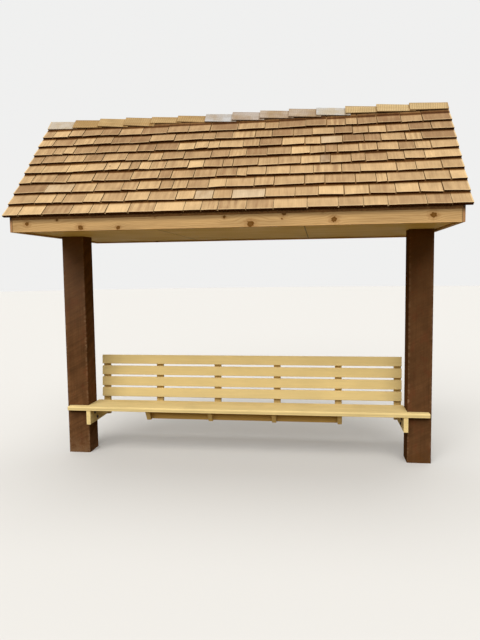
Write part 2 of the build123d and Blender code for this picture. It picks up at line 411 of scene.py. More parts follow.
@dataclass(frozen=True)
class PaintFinish:
    """Cream paint brushed along a planed board, with the grain just showing through."""

    name: str
    grain: Grain = Grain.ALONG_X
    color: Color = (0.74, 0.575, 0.265)
    streak: float = 0.06
    mottle: float = 0.08
    brush_tint: Span = (0.975, 1.02)
    brush_depth: float = 0.00012
    grain_depth: float = 0.00035
    roughness: Span = (0.73, 0.57)
    sheen: float = 0.05
    mark_color: Color = (0.22, 0.10, 0.03)
    mark_strength: float = 0.75
    marks: tuple[Mark, ...] = ()
    joints: tuple[float, ...] = ()
    joint_reach: Span = (0.0024, 0.006)
    joint_shade: float = 0.35
    # A painted shade line along the middle of the plank's front edge.
    nosing: Span | None = None
    nosing_shade: float = 0.80
    nosing_edge: Span = (0.002, 0.006)
    nosing_depth: Span = (0.006, 0.008)
    # Painted highlight on faces that turn upwards.
    painted_top_light: float = 0.0
    top_turn: Span = (0.3, 0.9)
    brush_marks: Pattern = Pattern((5.0, 420.0, 420.0))
    rings: Pattern = Pattern((2.2, 60.0, 60.0), rough=0.55)
    clouds: Pattern = Pattern((2.5, 5.0, 5.0), detail=4.0)

    def material(self) -> Material:
        """Build the painted wood."""
        graph = Graph(self.name)
        place = graph.object_space()
        x, y, z = graph.split(place)
        board = graph.turned(place, self.grain.value)
        brush = graph.noise(board, self.brush_marks)
        rings = graph.noise(board, self.rings)
        clouds = graph.noise(board, self.clouds)
        color = graph.varied(self.color, clouds, (1.0 - self.mottle, 1.0 + self.mottle / 2))
        color = graph.varied(color, rings, (1.0 - self.streak, 1.0 + self.streak / 2))
        color = graph.varied(color, brush, self.brush_tint, FIBRE_SPAN)
        for mark in self.marks:
            spot = graph.spot(place, mark, self.mark_strength)
            color = graph.mix(spot, color, self.mark_color)
        for joint in self.joints:
            shades = (self.joint_shade, 1.0)
            color = graph.varied(color, graph.apart(x, joint), shades, self.joint_reach)
        if self.nosing is not None:
            color = graph.scaled(color, self.nosing_shade_line(graph, y, z))
        # painted highlight on the upward faces
        if self.painted_top_light:
            _, _, up = graph.split(graph.node("ShaderNodeNewGeometry").outputs["Normal"])
            color = graph.varied(color, up, (1.0, 1.0 + self.painted_top_light), self.top_turn)
        normal = graph.bump(rings, self.grain_depth)
        normal = graph.bump(brush, self.brush_depth, normal)
        rough = graph.remap(clouds, NOISE_SPAN, self.roughness)
        return graph.surface(color, rough, normal, specular=self.sheen)

    def nosing_shade_line(self, graph: Graph, y: Any, z: Any) -> Socket:
        """Draw a painted shade line along the middle of a plank's front edge.

        Args:
            graph: The material's graph.
            y: The shaded point's Y.
            z: The shaded point's Z.

        Returns:
            What the colour is multiplied by.
        """
        front, height = self.nosing
        near, far = self.nosing_depth
        line = graph.remap(graph.apart(z, height), self.nosing_edge, (self.nosing_shade, 1.0))
        return graph.larger(line, graph.remap(y, (front + near, front + far)))


@dataclass(frozen=True)
class StainFinish:
    """Brown stain on a rough-sawn post, with slanting saw marks, scuffs, a dusty foot, painted
    light on its front's top and the seat's painted shadow.
    """

    name: str
    center: float
    half: float
    fade: float = 1.0
    color: Color = (0.114, 0.053, 0.022)
    dark: Color = (0.096, 0.044, 0.018)
    red: Color = (0.118, 0.040, 0.017)
    scuff: Color = (0.26, 0.155, 0.085)
    dust: Color = (0.20, 0.115, 0.06)
    # Painted light: the front face is paler and greyer towards its top.
    top_light_color: Color = (0.235, 0.14, 0.09)
    top_light_share: float = 0.42
    top_light_from: Span = (0.9, 1.95)
    top_light_depth: Span = (0.002, 0.006)
    saw_slant: float = radians(27.0)
    saw_pitch: float = 0.024
    saw_wandering: float = 0.05
    saw_tint: float = 0.055
    saw_depth: float = 0.0008
    fibre_depth: float = 0.0006
    band_tint: float = 0.13
    rubbed: Span = (0.95, 1.36)
    rub_blend: float = 0.05
    rub_elsewhere: float = 0.45
    rub_reach: Span = (0.024, 0.004)
    foot_height: float = 0.20
    foot_dust: float = 0.62
    # Painted shadow of the seat on the post, just under the seat.
    seat_foot: float = 0.414
    seat_shadow: float = 0.45
    shade_reach: Span = (0.045, 0.012)
    seat_shadow_end: float = 0.01
    streaks: Pattern = Pattern((55.0, 55.0, 1.6), detail=4.0)
    fibres: Pattern = Pattern((420.0, 420.0, 14.0), detail=2.0)
    clouds: Pattern = Pattern((9.0, 9.0, 5.0), detail=4.0)
    blush: Pattern = Pattern((14.0, 14.0, 9.0), rough=0.5, shift=(3.0, 5.0, 7.0))
    bands: Pattern = Pattern((2.5, 2.5, 26.0), detail=2.0, rough=0.55)
    saw_wander: Pattern = Pattern((5.0, 5.0, 9.0), detail=2.0, rough=0.5)
    saw_strength: Pattern = Pattern((10.0, 10.0, 16.0))
    rub_patches: Pattern = Pattern((22.0, 22.0, 34.0))
    scratches: Pattern = Pattern((14.0, 14.0, 210.0), rough=0.7)
    splashes: Pattern = Pattern((26.0, 26.0, 20.0), detail=5.0, rough=0.7)
    specks: Pattern = Pattern((110.0, 110.0, 110.0), detail=1.0, rough=0.5)

    def material(self) -> Material:
        """Build the stained timber."""
        graph = Graph(self.name)
        place = graph.object_space()
        axes = graph.split(place)
        _, y, z = axes
        streaks = graph.noise(place, self.streaks)
        blush = graph.noise(place, self.blush)
        color = graph.mix(graph.remap(streaks, (0.25, 0.6)), self.dark, self.color)
        color = graph.mix(graph.remap(blush, (0.5, 0.7), (0.0, 0.5)), color, self.red)
        color = graph.varied(color, graph.noise(place, self.clouds), (0.88, 1.14))
        saw, strong, bands = self.saw_marks(graph, place, axes)
        color = graph.saw_tinted(color, saw, (0.2, 1.0), self.saw_tint, strong)
        shades = (1.0 - self.band_tint, 1.0 + self.band_tint)
        color = graph.scaled(graph.varied(color, bands, shades, (0.32, 0.68)), self.fade)
        # painted light on the top of the front face
        near, far = self.top_light_depth
        front = graph.remap(y, (near - self.half, far - self.half), (self.top_light_share, 0.0))
        pale = graph.product(front, graph.remap(z, self.top_light_from))
        color = graph.mix(pale, color, self.top_light_color)
        # painted shadow of the seat
        color = graph.scaled(color, self.painted_seat_shadow(graph, z))
        color = graph.mix(self.scuffs(graph, place, axes), color, self.scuff)
        color = graph.mix(self.dusting(graph, place, z), color, self.dust)
        normal = graph.bump(graph.product(saw, strong), self.saw_depth)
        normal = graph.bump(graph.noise(place, self.fibres), self.fibre_depth, normal)
        rough = graph.remap(streaks, NOISE_SPAN, (0.95, 0.82))
        return graph.surface(color, rough, normal, specular=0.0)

    def saw_marks(
        self, graph: Graph, place: Any, axes: tuple[Any, ...]
    ) -> tuple[Socket, Socket, Socket]:
        """Draw the slanting marks of the saw on all four faces.

        Args:
            graph: The material's graph.
            place: The shaded point.
            axes: Its X, Y and Z.

        Returns:
            The ridges, where they are strong, and the broad bands beside them.
        """
        x, y, z = axes
        rise = graph.product(z, cos(self.saw_slant))
        slide = graph.product(graph.total(x, y), sin(self.saw_slant))
        along = graph.math("SUBTRACT", rise, slide)
        bands = graph.noise(graph.join(x, y, along), self.bands)
        wander = graph.product(graph.noise(place, self.saw_wander), self.saw_wandering)
        ridges = graph.waves(graph.total(along, wander), self.saw_pitch)
        strong = graph.remap(graph.noise(place, self.saw_strength), (0.42, 0.66), (0.15, 1.0))
        return ridges, strong, bands

    def painted_seat_shadow(self, graph: Graph, z: Any) -> Socket:
        """Paint the seat's shadow on the post just under it.

        Args:
            graph: The material's graph.
            z: The shaded point's Z.

        Returns:
            What the colour is multiplied by.
        """
        foot = self.seat_foot
        low, high = self.shade_reach
        below = graph.remap(z, (foot - low, foot - high), (1.0, self.seat_shadow))
        return graph.larger(below, graph.remap(z, (foot, foot + self.seat_shadow_end)))

    def scuffs(self, graph: Graph, place: Any, axes: tuple[Any, ...]) -> Socket:
        """Rub the stain off along the arrises and in slanting scratches.

        Args:
            graph: The material's graph.
            place: The shaded point.
            axes: Its X, Y and Z.

        Returns:
            How far the stain is rubbed off.
        """
        x, y, z = axes
        near = graph.math("MINIMUM", graph.apart(x, self.center), graph.apart(y))
        start, end = self.rub_reach
        arris = graph.remap(near, (self.half - start, self.half - end))
        (low, high), blend = self.rubbed, self.rub_blend
        above = graph.remap(z, (low - blend, low + blend), (self.rub_elsewhere, 1.0))
        below = graph.remap(z, (high - blend, high + blend), (1.0, self.rub_elsewhere))
        arris = graph.product(arris, graph.math("MINIMUM", above, below))
        patches = graph.remap(graph.noise(place, self.rub_patches), (0.46, 0.60), (0.0, 0.75))
        slanted = graph.turned(place, (-self.saw_slant, self.saw_slant, 0.0))
        scratched = graph.remap(graph.noise(slanted, self.scratches), (0.68, 0.80), (0.0, 0.35))
        return graph.larger(graph.product(arris, patches), scratched)

    def dusting(self, graph: Graph, place: Any, z: Any) -> Socket:
        """Put the ground's dust on the foot of the post, and pale specks above it.

        Args:
            graph: The material's graph.
            place: The shaded point.
            z: Its Z.

        Returns:
            How dusty the post is.
        """
        splashes = graph.remap(graph.noise(place, self.splashes), (0.35, 0.65))
        low = graph.remap(z, (0.0, self.foot_height), (self.foot_dust, 0.0))
        specks = graph.remap(graph.noise(place, self.specks), (0.70, 0.74), (0.0, 0.9))
        reach = graph.remap(z, (0.2, 1.1), (1.0, 0.2))
        return graph.larger(graph.product(low, splashes), graph.product(specks, reach))


@dataclass(frozen=True)
class Knot:
    """A knot that shows on a board: its place along the board and up it, and its radius."""

    along: float
    up: float
    radius: float


@dataclass(frozen=True)
class CedarFinish:
    """A bare cedar board: wandering growth rings that part round dark knots."""

    name: str
    grain: Grain
    knots: tuple[Knot, ...] = ()
    light: Color = (0.525, 0.335, 0.15)
    late: Color = (0.40, 0.235, 0.095)
    knot: Color = (0.12, 0.045, 0.004)
    cut_end: Color = (0.37, 0.20, 0.09)
    halo: Color = (0.27, 0.125, 0.038)
    ring_pitch: float = 0.014
    ring_drift: float = 0.11
    ring_tilt: float = 0.6
    late_share: float = 0.55
    ring_depth: float = 0.0003
    fibre_depth: float = 0.0004
    knot_spacing: float = 0.42
    knot_size: Span = (0.010, 0.020)
    rims: Span | None = None
    joint: float | None = None
    joint_reach: Span = (0.007, 0.003)
    joint_shade: float = 0.5
    # Painted highlight along the foot of the fascia, stronger to the right.
    foot_highlight: float = 0.30
    foot_highlight_height: float = 0.014
    foot_highlight_along: Span = (-1.3, 1.0)
    least_foot_highlight: float = 0.35
    # Painted shadow of the shingles' overhang over the top of the board.
    shade_reach: Span = (0.036, 0.002)
    eave_shadow_shade: float = 0.50
    eave_shadow_ragged: float = 0.008
    plumb_cut: float | None = None
    cut_reach: Span = (0.004, 0.001)
    cut_shadow_reach: Span = (0.012, -0.010)
    cut_shade: float = 0.22
    drift: Pattern = Pattern((1.3, 4.0, 7.0), rough=0.55)
    fibres: Pattern = Pattern((9.0, 380.0, 380.0))
    clouds: Pattern = Pattern((1.7, 6.0, 9.0), detail=4.0)
    knot_rims: Pattern = Pattern((70.0, 70.0, 70.0), detail=2.0, rough=0.5)

    def material(self) -> Material:
        """Build the bare board."""
        graph = Graph(self.name)
        place = graph.object_space()
        board = graph.turned(place, self.grain.value)
        pushed, knot, halo = self.part_round_knots(graph, board)
        _, thick, up = graph.split(pushed)
        drift = graph.product(graph.noise(pushed, self.drift), self.ring_drift)
        across = graph.total(graph.total(up, graph.product(thick, self.ring_tilt)), drift)
        rings = graph.remap(graph.waves(across, self.ring_pitch), (0.35, 1.0))
        fibres = graph.noise(pushed, self.fibres)
        clouds = graph.noise(board, self.clouds)
        color = graph.mix(graph.product(rings, self.late_share), self.light, self.late)
        color = graph.varied(color, clouds, (0.86, 1.1))
        color = graph.varied(color, fibres, (0.90, 1.06), FIBRE_SPAN)
        color = graph.mix(halo, color, self.halo)
        color = graph.mix(knot, color, self.knot)
        if self.plumb_cut is not None:
            color = self.brown_and_shade_cut_end(graph, place, color, clouds)
        elif self.rims is not None:
            color = self.light_and_shade_face(graph, place, color, clouds)
        normal = graph.bump(rings, self.ring_depth)
        normal = graph.bump(fibres, self.fibre_depth, normal)
        rough = graph.remap(clouds, NOISE_SPAN, (0.80, 0.68))
        return graph.surface(color, rough, normal, specular=0.04)

    def painted_eave_shadow(self, graph: Graph, height: Any, clouds: Any) -> Socket:
        """Paint the shadow of the shingles' overhang on the board's top, with a ragged edge.

        Args:
            graph: The material's graph.
            height: The shaded point's Z.
            clouds: The board's slow unevenness, 0 to 1.

        Returns:
            What the colour is multiplied by.
        """
        (_, top), (start, end) = self.rims, self.shade_reach
        edge = graph.remap(clouds, NOISE_SPAN, (-self.eave_shadow_ragged, self.eave_shadow_ragged))
        ragged = graph.total(height, edge)
        return graph.remap(ragged, (top - start, top - end), (1.0, self.eave_shadow_shade))

    def light_and_shade_face(self, graph: Graph, place: Any, color: Any, clouds: Any) -> Socket:
        """Paint a highlight on the board's foot and the shingles' shadow on its top, and mark the
        joint at its ends.

        Args:
            graph: The material's graph.
            place: The shaded point.
            color: The board's colour so far.
            clouds: Its slow unevenness, 0 to 1.

        Returns:
            The colour with its painted light and shade.
        """
        x, _, height = graph.split(place)
        foot = self.rims[0]
        # painted highlight on the board's foot
        highlight = graph.remap(height, (foot, foot + self.foot_highlight_height), (self.foot_highlight, 0.0))
        along = graph.remap(x, self.foot_highlight_along, (self.least_foot_highlight, 1.0))
        color = graph.scaled(color, graph.total(graph.product(highlight, along), 1.0))
        # painted shadow of the shingles' overhang on the top
        color = graph.scaled(color, self.painted_eave_shadow(graph, height, clouds))
        if self.joint is not None:
            start, end = self.joint_reach
            reach = (self.joint - start, self.joint - end)
            color = graph.varied(color, graph.apart(x), (1.0, self.joint_shade), reach)
        return color

    def brown_and_shade_cut_end(self, graph: Graph, place: Any, color: Any, clouds: Any) -> Socket:
        """Brown the board's plumb-cut end, and paint the shingles' shadow on it up to the roof.

        Args:
            graph: The material's graph.
            place: The shaded point.
            color: The board's colour so far.
            clouds: Its slow unevenness, 0 to 1.

        Returns:
            The colour with its painted shadow.
        """
        _, y, height = graph.split(place)
        start, end = self.cut_reach
        cut = graph.remap(graph.apart(y), (self.plumb_cut - start, self.plumb_cut - end))
        (_, top), (start, end) = self.rims, self.cut_shadow_reach
        # painted shadow down from the roof on the cut end
        dim = graph.remap(height, (top - start, top - end), (1.0, self.cut_shade))
        shade = graph.product(self.painted_eave_shadow(graph, height, clouds), dim)
        return graph.mix(cut, color, graph.scaled(graph.mix(cut, color, self.cut_end), shade))

    def part_round_knots(self, graph: Graph, board: Any) -> tuple[Socket, Any, Any]:
        """Place the knots and push the grain aside round them.

        Args:
            graph: The material's graph.
            board: The shaded point, with the board's length along X.

        Returns:
            The pushed point, where the knots are, and where their halos are.
        """
        flat = graph.between_vectors("MULTIPLY", board, (1.0, 0.0, 1.0))
        if not self.knots:
            return self.scattered_knots(graph, board, flat)
        pushed, knots, halos = board, 0.0, 0.0
        ragged = graph.remap(graph.noise(board, self.knot_rims), NOISE_SPAN, (0.8, 1.25))
        for knot in self.knots:
            radius = knot.radius
            offset = graph.between_vectors("SUBTRACT", flat, (knot.along, 0.0, knot.up))
            away = graph.length(graph.between_vectors("MULTIPLY", offset, (0.85, 1.0, 1.0)))
            strength = graph.remap(away, (0.0, radius * 5.0), (0.85, 0.0))
            pushed = graph.between_vectors("SUBTRACT", pushed, graph.scaled(offset, strength))
            away = graph.product(away, ragged)
            spot = graph.remap(away, (radius * 0.72, radius), (0.96, 0.0))
            heart = graph.remap(away, (radius * 0.2, radius * 0.7), (0.10, 0.0))
            knots = graph.larger(knots, graph.math("SUBTRACT", spot, heart))
            halos = graph.larger(halos, graph.remap(away, (radius, radius * 2.4), (0.40, 0.0)))
        return pushed, knots, halos

    def scattered_knots(
        self, graph: Graph, board: Any, flat: Any
    ) -> tuple[Socket, Socket, Socket]:
        """Scatter knots over a board at about the usual spacing.

        Args:
            graph: The material's graph.
            board: The shaded point, with the board's length along X.
            flat: The same point on the face of the board.

        Returns:
            The pushed point, where the knots are, and where their halos are.
        """
        cells = graph.node("ShaderNodeTexVoronoi", voronoi_dimensions="3D")
        graph.feed(cells.inputs["Vector"], flat)
        cells.inputs["Scale"].default_value = 1.0 / self.knot_spacing
        offset = graph.between_vectors("SUBTRACT", flat, cells.outputs["Position"])
        offset = graph.between_vectors("MULTIPLY", offset, (1.0, 0.0, 1.0))
        away = graph.length(graph.between_vectors("MULTIPLY", offset, (0.8, 1.0, 1.0)))
        small, large = self.knot_size
        strength = graph.remap(away, (0.0, large * 5.0), (0.85, 0.0))
        pushed = graph.between_vectors("SUBTRACT", board, graph.scaled(offset, strength))
        knots = graph.remap(away, (small * 0.5, small), (0.92, 0.0))
        halos = graph.remap(away, (small, large * 1.6), (0.45, 0.0))
        return pushed, knots, halos


@dataclass(frozen=True)
class ShingleFinish:
    """New sawn cedar, toned piece by piece, with a painted highlight at the rim and painted shade
    under the course above.
    """

    name: str
    light: Color = (0.545, 0.372, 0.192)
    tan: Color = (0.25, 0.148, 0.074)
    blush: Color = (0.25, 0.138, 0.066)
    # Pale fresh-sawn wood and a painted highlight along the butts, the sides and the roof's ends.
    fresh_highlight: Color = (0.66, 0.49, 0.27)
    fresh_butt_highlight: float = 0.42
    fresh_side_highlight: float = 0.30
    fresh_end_highlight: float = 0.8
    silver: Color = (0.50, 0.41, 0.29)
    # End grain, darkened near to black on the shingles as painted shade on their butts.
    end_grain_and_shade: Color = (0.042, 0.011, 0.001)
    mark: Color = (0.07, 0.03, 0.01)
    mark_strength: float = 0.9
    streak_lift: float = 0.9
    saw_pitch: float = 0.0035
    saw_slant: float = 0.12
    saw_wandering: float = 0.02
    saw_depth: float = 0.0003
    saw_tint: float = 0.04
    silver_dulls: Span = (0.15, 0.50)
    dulled_saw: float = 0.2
    fibre_depth: float = 0.0004
    # Painted shade: the strip under each course's butts and the gaps' floors are darkened and
    # tinted brown.
    painted_shade_reach: Span = (0.80, 1.0)
    cover_shade: float = 0.12
    shade_growth: float = 0.0
    shade_growth_heights: Span = (2.2, 2.95)
    shade_powers: Span = (0.75, 1.35)
    gap_floor_shade: float = 0.36
    roof_end: float = 1.76
    end_reach: Span = (0.014, 0.004)
    marks: tuple[Mark, ...] = ()
    streaks: Pattern = Pattern((38.0, 2.2, 1.0))
    fibres: Pattern = Pattern((330.0, 6.0, 1.0))
    clouds: Pattern = Pattern((9.0, 6.0, 1.0), rough=0.55)
    saw_wander: Pattern = Pattern((7.0, 7.0, 1.0), detail=2.0, rough=0.5)

    def material(self) -> Material:
        """Build the sawn cedar."""
        graph = Graph(self.name)
        place = graph.object_space()
        grain = graph.uv("grain")
        tone = graph.node("ShaderNodeAttribute", attribute_name="tone")
        lightness, blush, silver = graph.channels(tone.outputs["Color"])
        streaks = graph.noise(grain, self.streaks)
        fibres = graph.noise(grain, self.fibres)
        clouds = graph.noise(grain, self.clouds)
        lift = graph.product(graph.math("SUBTRACT", streaks, 0.5), self.streak_lift)
        color = graph.mix(graph.math("ADD", lightness, lift, clamp=True), self.tan, self.light)
        stain = graph.product(blush, graph.remap(streaks, (0.60, 0.36), (0.05, 1.0)))
        color = graph.mix(stain, color, self.blush)
        bleach = graph.product(silver, graph.remap(clouds, (0.3, 0.6), (0.45, 1.0)))
        color = graph.mix(bleach, color, self.silver)
        color = graph.varied(color, fibres, (0.86, 1.07), FIBRE_SPAN)
        color = graph.varied(color, clouds, (0.90, 1.08))
        ridges = self.saw_ridges(graph, grain)
        crisp = graph.remap(silver, self.silver_dulls, (1.0, self.dulled_saw))
        color = graph.saw_tinted(color, ridges, (0.1, 0.9), self.saw_tint, crisp)
        color = graph.mix(self.fresh_edge_highlight(graph, place), color, self.fresh_highlight)
        # painted shade under the next course's butts and in the gaps
        color = graph.between_vectors("MULTIPLY", color, self.painted_exposure_shade(graph, place))
        for mark in self.marks:
            color = graph.mix(graph.spot(place, mark, self.mark_strength), color, self.mark)
        # end grain colour, partly painted shade, on the butts and sides
        color = graph.mix(tone.outputs["Alpha"], color, self.end_grain_and_shade)
        normal = graph.bump(graph.product(ridges, crisp), self.saw_depth)
        normal = graph.bump(fibres, self.fibre_depth, normal)
        rough = graph.remap(clouds, NOISE_SPAN, (0.82, 0.68))
        return graph.surface(color, rough, normal, specular=0.04)

    def saw_ridges(self, graph: Graph, grain: Any) -> Socket:
        """Draw the fine ridges that the saw left across the grain.

        Args:
            graph: The material's graph.
            grain: The shaded point on the piece.

        Returns:
            The ridges, 0 to 1.
        """
        aside, along, _ = graph.split(grain)
        wander = graph.product(graph.noise(grain, self.saw_wander), self.saw_wandering)
        slanted = graph.total(graph.total(along, wander), graph.product(aside, self.saw_slant))
        return graph.waves(slanted, self.saw_pitch)

    def fresh_edge_highlight(self, graph: Graph, place: Any) -> Socket:
        """Lighten the freshly sawn wood along the butt, the sides and the roof's ends, partly as a
        painted highlight.

        Args:
            graph: The material's graph.
            place: The shaded point.

        Returns:
            How much of the fresh-sawn colour and painted highlight the wood takes.
        """
        side, reach, _ = graph.split(graph.uv("reach"))
        butt = graph.remap(reach, (0.01, 0.11), (self.fresh_butt_highlight, 0.0))
        flank = graph.remap(graph.apart(side, 0.5), (0.46, 0.50), (0.0, self.fresh_side_highlight))
        x, _, _ = graph.split(place)
        near_end = tuple(self.roof_end - reach for reach in self.end_reach)
        end = graph.remap(graph.apart(x), near_end, (0.0, self.fresh_end_highlight))
        return graph.larger(butt, graph.larger(flank, end))

    def painted_exposure_shade(self, graph: Graph, place: Any) -> Socket:
        """Paint brown-tinted shade on the strip under the next course's butts, broader higher up,
        and on the gaps' floors.

        Args:
            graph: The material's graph.
            place: The shaded point.

        Returns:
            What the colour's channels are multiplied by.
        """
        _, reach, _ = graph.split(graph.uv("reach"))
        _, _, height = graph.split(place)
        grown = graph.remap(height, self.shade_growth_heights, (0.0, self.shade_growth))
        dull = graph.remap(graph.total(reach, grown), self.painted_shade_reach, (1.0, self.cover_shade))
        shade = graph.total(dull, graph.remap(reach, (1.03, 1.25), (0.0, self.gap_floor_shade)))
        red, blue = (graph.math("POWER", shade, power) for power in self.shade_powers)
        return graph.join(red, shade, blue)


@dataclass(frozen=True)
class SheathingFinish:
    """Plain roof sheathing, brown and a little patchy, its usual colour darkened near to black as
    painted shade under the eave's butts.
    """

    name: str
    # near black: the deck's edge under the butts, partly painted shade
    color: Color = (0.085, 0.036, 0.007)
    depth: float = 0.0006
    flakes: Pattern = Pattern((45.0, 45.0, 60.0), detail=4.0, rough=0.65)
    clouds: Pattern = Pattern((4.0, 4.0, 4.0), rough=0.5)

    def material(self) -> Material:
        """Build the sheathing."""
        graph = Graph(self.name)
        place = graph.object_space()
        flakes = graph.noise(place, self.flakes)
        color = graph.varied(self.color, flakes, (0.75, 1.3))
        color = graph.varied(color, graph.noise(place, self.clouds), (0.85, 1.15))
        rough = graph.remap(flakes, NOISE_SPAN, (0.9, 0.75))
        return graph.surface(color, rough, graph.bump(flakes, self.depth), specular=0.2)


@dataclass(frozen=True)
class ZincFinish:
    """Dull zinc on bolts and washers, browned by the weather."""

    name: str
    metal: Color = (0.06, 0.045, 0.03)
    rust: Color = (0.05, 0.022, 0.01)
    depth: float = 0.0002
    blotches: Pattern = Pattern((160.0, 160.0, 160.0), detail=4.0)

    def material(self) -> Material:
        """Build the zinc."""
        graph = Graph(self.name)
        blotches = graph.noise(graph.object_space(), self.blotches)
        color = graph.mix(graph.remap(blotches, (0.42, 0.62)), self.metal, self.rust)
        rough = graph.remap(blotches, NOISE_SPAN, (0.45, 0.75))
        return graph.surface(color, rough, graph.bump(blotches, self.depth), metallic=0.3)


def dress(nodes: dict[str, Any], finish: Finish, *words: str) -> Material:
    """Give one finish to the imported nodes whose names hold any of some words.

    Args:
        nodes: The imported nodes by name.
        finish: Their finish.
        words: The words to look for.

    Returns:
        The finish's material.
    """
    material = finish.material()
    for name, node in nodes.items():
        if any(word in name for word in words):
            if not node.material_slots:
                node.data.materials.append(material)
            for held in node.material_slots:
                held.material = material
    return material


def between(ends: Span, share: float) -> float:
    """Give the number at a share of the way between two."""
    return ends[0] + (ends[1] - ends[0]) * share


def grain_offset(rng: random.Random) -> Span:
    """Choose where in the wood's pattern a piece is cut from."""
    return rng.uniform(*GRAIN_SPAN), rng.uniform(*GRAIN_SPAN)


def as_mesh(bm: BMesh, name: str) -> Mesh:
    """Turn a finished bmesh into a mesh.

    Args:
        bm: The bmesh, which is freed.
        name: The mesh's name.

    Returns:
        The mesh.
    """
    mesh = bpy.data.meshes.new(name)
    bm.to_mesh(mesh)
    bm.free()
    return mesh


def add_object(name: str, data: Any) -> bpy.types.Object:
    """Put something into the scene.

    Args:
        name: Its name.
        data: A mesh, a light or a camera.

    Returns:
        Its object.
    """
    made = bpy.data.objects.new(name, data)
    bpy.context.scene.collection.objects.link(made)
    return made


def place_piece(name: str, bm: BMesh, material: Material, slot: str, *nodes: str) -> None:
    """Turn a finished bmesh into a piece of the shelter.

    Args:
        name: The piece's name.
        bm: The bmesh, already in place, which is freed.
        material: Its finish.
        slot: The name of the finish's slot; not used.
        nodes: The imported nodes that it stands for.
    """
    mesh = as_mesh(bm, name)
    mesh.materials.append(material)
    piece = add_object(name, mesh)
    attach(piece, BODY)
    if nodes:
        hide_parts(*nodes)
    log.info("%s: %d faces", name, len(mesh.polygons))


def add_part(bm: BMesh, part: BMesh) -> None:
    """Add a part that was eased on its own, so that the faces' order is the same every run."""
    bm.from_mesh(as_mesh(part, "part"))


def block(bm: BMesh, low: Sequence[float], high: Sequence[float]) -> list[Any]:
    """Add a box between two corners.

    Args:
        bm: The mesh to add it to.
        low: The lowest corner.
        high: The highest corner.

    Returns:
        Its vertices.
    """
    low, high = Vector(low), Vector(high)
    size, middle = high - low, (high + low) / 2
    shape = Matrix.Translation(middle) @ Matrix.Diagonal((*size, 1.0))
    return bmesh.ops.create_cube(bm, size=1.0, matrix=shape)["verts"]


def prism(
    bm: BMesh, place: Matrix, sides: int, radii: Span, foot: float, height: float
) -> list[Any]:
    """Add a prism, or a stub of a cone, that stands on a place's Z axis.

    Args:
        bm: The mesh to add it to.
        place: The place.
        sides: How many sides it has.
        radii: Its radius at the foot and at the top.
        foot: Where its foot is along Z.
        height: Its height.

    Returns:
        Its vertices.
    """
    return bmesh.ops.create_cone(
        bm,
        cap_ends=True,
        segments=sides,
        radius1=radii[0],
        radius2=radii[1],
        depth=height,
        matrix=place @ Matrix.Translation((0.0, 0.0, foot + height / 2)),
    )["verts"]


def slice_at(bm: BMesh, point: Sequence[float], normal: Sequence[float]) -> None:
    """Cut edges and faces where a plane crosses them, and keep both sides."""
    geometry = bm.verts[:] + bm.edges[:] + bm.faces[:]
    bmesh.ops.bisect_plane(bm, geom=geometry, plane_co=point, plane_no=normal)


def saw_off(bm: BMesh, point: Sequence[float], outward: Sequence[float]) -> None:
    """Take away what lies past a plane, and close the cuts.

    Args:
        bm: The mesh to cut.
        point: A point of the plane.
        outward: The plane's normal, to the side that goes.
    """
    geometry = bm.verts[:] + bm.edges[:] + bm.faces[:]
    bmesh.ops.bisect_plane(bm, geom=geometry, plane_co=point, plane_no=outward, clear_outer=True)
    open_edges = [edge for edge in bm.edges if edge.is_boundary]
    bmesh.ops.holes_fill(bm, edges=open_edges, sides=0)


def turn_outwards(bm: BMesh) -> BMesh:
    """Make all faces of closed shapes point outwards."""
    bmesh.ops.recalc_face_normals(bm, faces=bm.faces[:])
    return bm


def edges_at(verts: list[Any]) -> list[Any]:
    """Give the edges that meet at some vertices, each once and in the same order every run."""
    return list(dict.fromkeys(edge for vert in verts for edge in vert.link_edges))


def ease(bm: BMesh, edges: list[Any], width: float, segments: int = 1) -> None:
    """Chamfer or round edges.

    Args:
        bm: The mesh.
        edges: Its edges to ease.
        width: The width that is taken off each face.
        segments: 1 for a chamfer, more for a rounding.
    """
    bmesh.ops.bevel(
        bm,
        geom=edges,
        offset=width,
        offset_type="OFFSET",
        segments=segments,
        profile=0.5,
        affect="EDGES",
        material=-1,
        clamp_overlap=True,
    )


@dataclass(frozen=True)
class Slope:
    """One slope of the roof, measured from the ridge down the deck."""

    side: Side
    apex: float
    half_depth: float

    @classmethod
    def of(cls, side: Side) -> Slope:
        """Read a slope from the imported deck."""
        low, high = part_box(f"{side.name.lower()}_deck")
        return cls(side, high.z, max(abs(low.y), abs(high.y)))

    @property
    def name(self) -> str:
        """Give the side's name, for the names of its pieces."""
        return self.side.name.lower()

    @property
    def eave_run(self) -> float:
        """Give the length of the deck from the ridge to the eave."""
        return self.half_depth / cos(ROOF_SLOPE)

    def own(self, pair: tuple[int, int]) -> int:
        """Give this slope's own of a pair, of which the first is the front slope's."""
        return pair[0 if self.side is Side.FRONT else 1]

    def point(self, x: float, run: float, height: float) -> Vector:
        """Find a place on the slope.

        Args:
            x: The distance along the ridge.
            run: The distance down the slope.
            height: The height over the deck.

        Returns:
            The place in the shelter's frame.
        """
        y = run * cos(ROOF_SLOPE) + height * sin(ROOF_SLOPE)
        z = self.apex - run * sin(ROOF_SLOPE) + height * cos(ROOF_SLOPE)
        return Vector((x, self.side.value * y, z))


@dataclass(frozen=True)
class Look:
    """What tells one cedar piece from the next: its tone, its grain and how dark its sides are,
    partly as painted shade.
    """

    lightness: float
    blush: float
    silver: float
    offset: Span
    dark_and_shaded_sides: Span


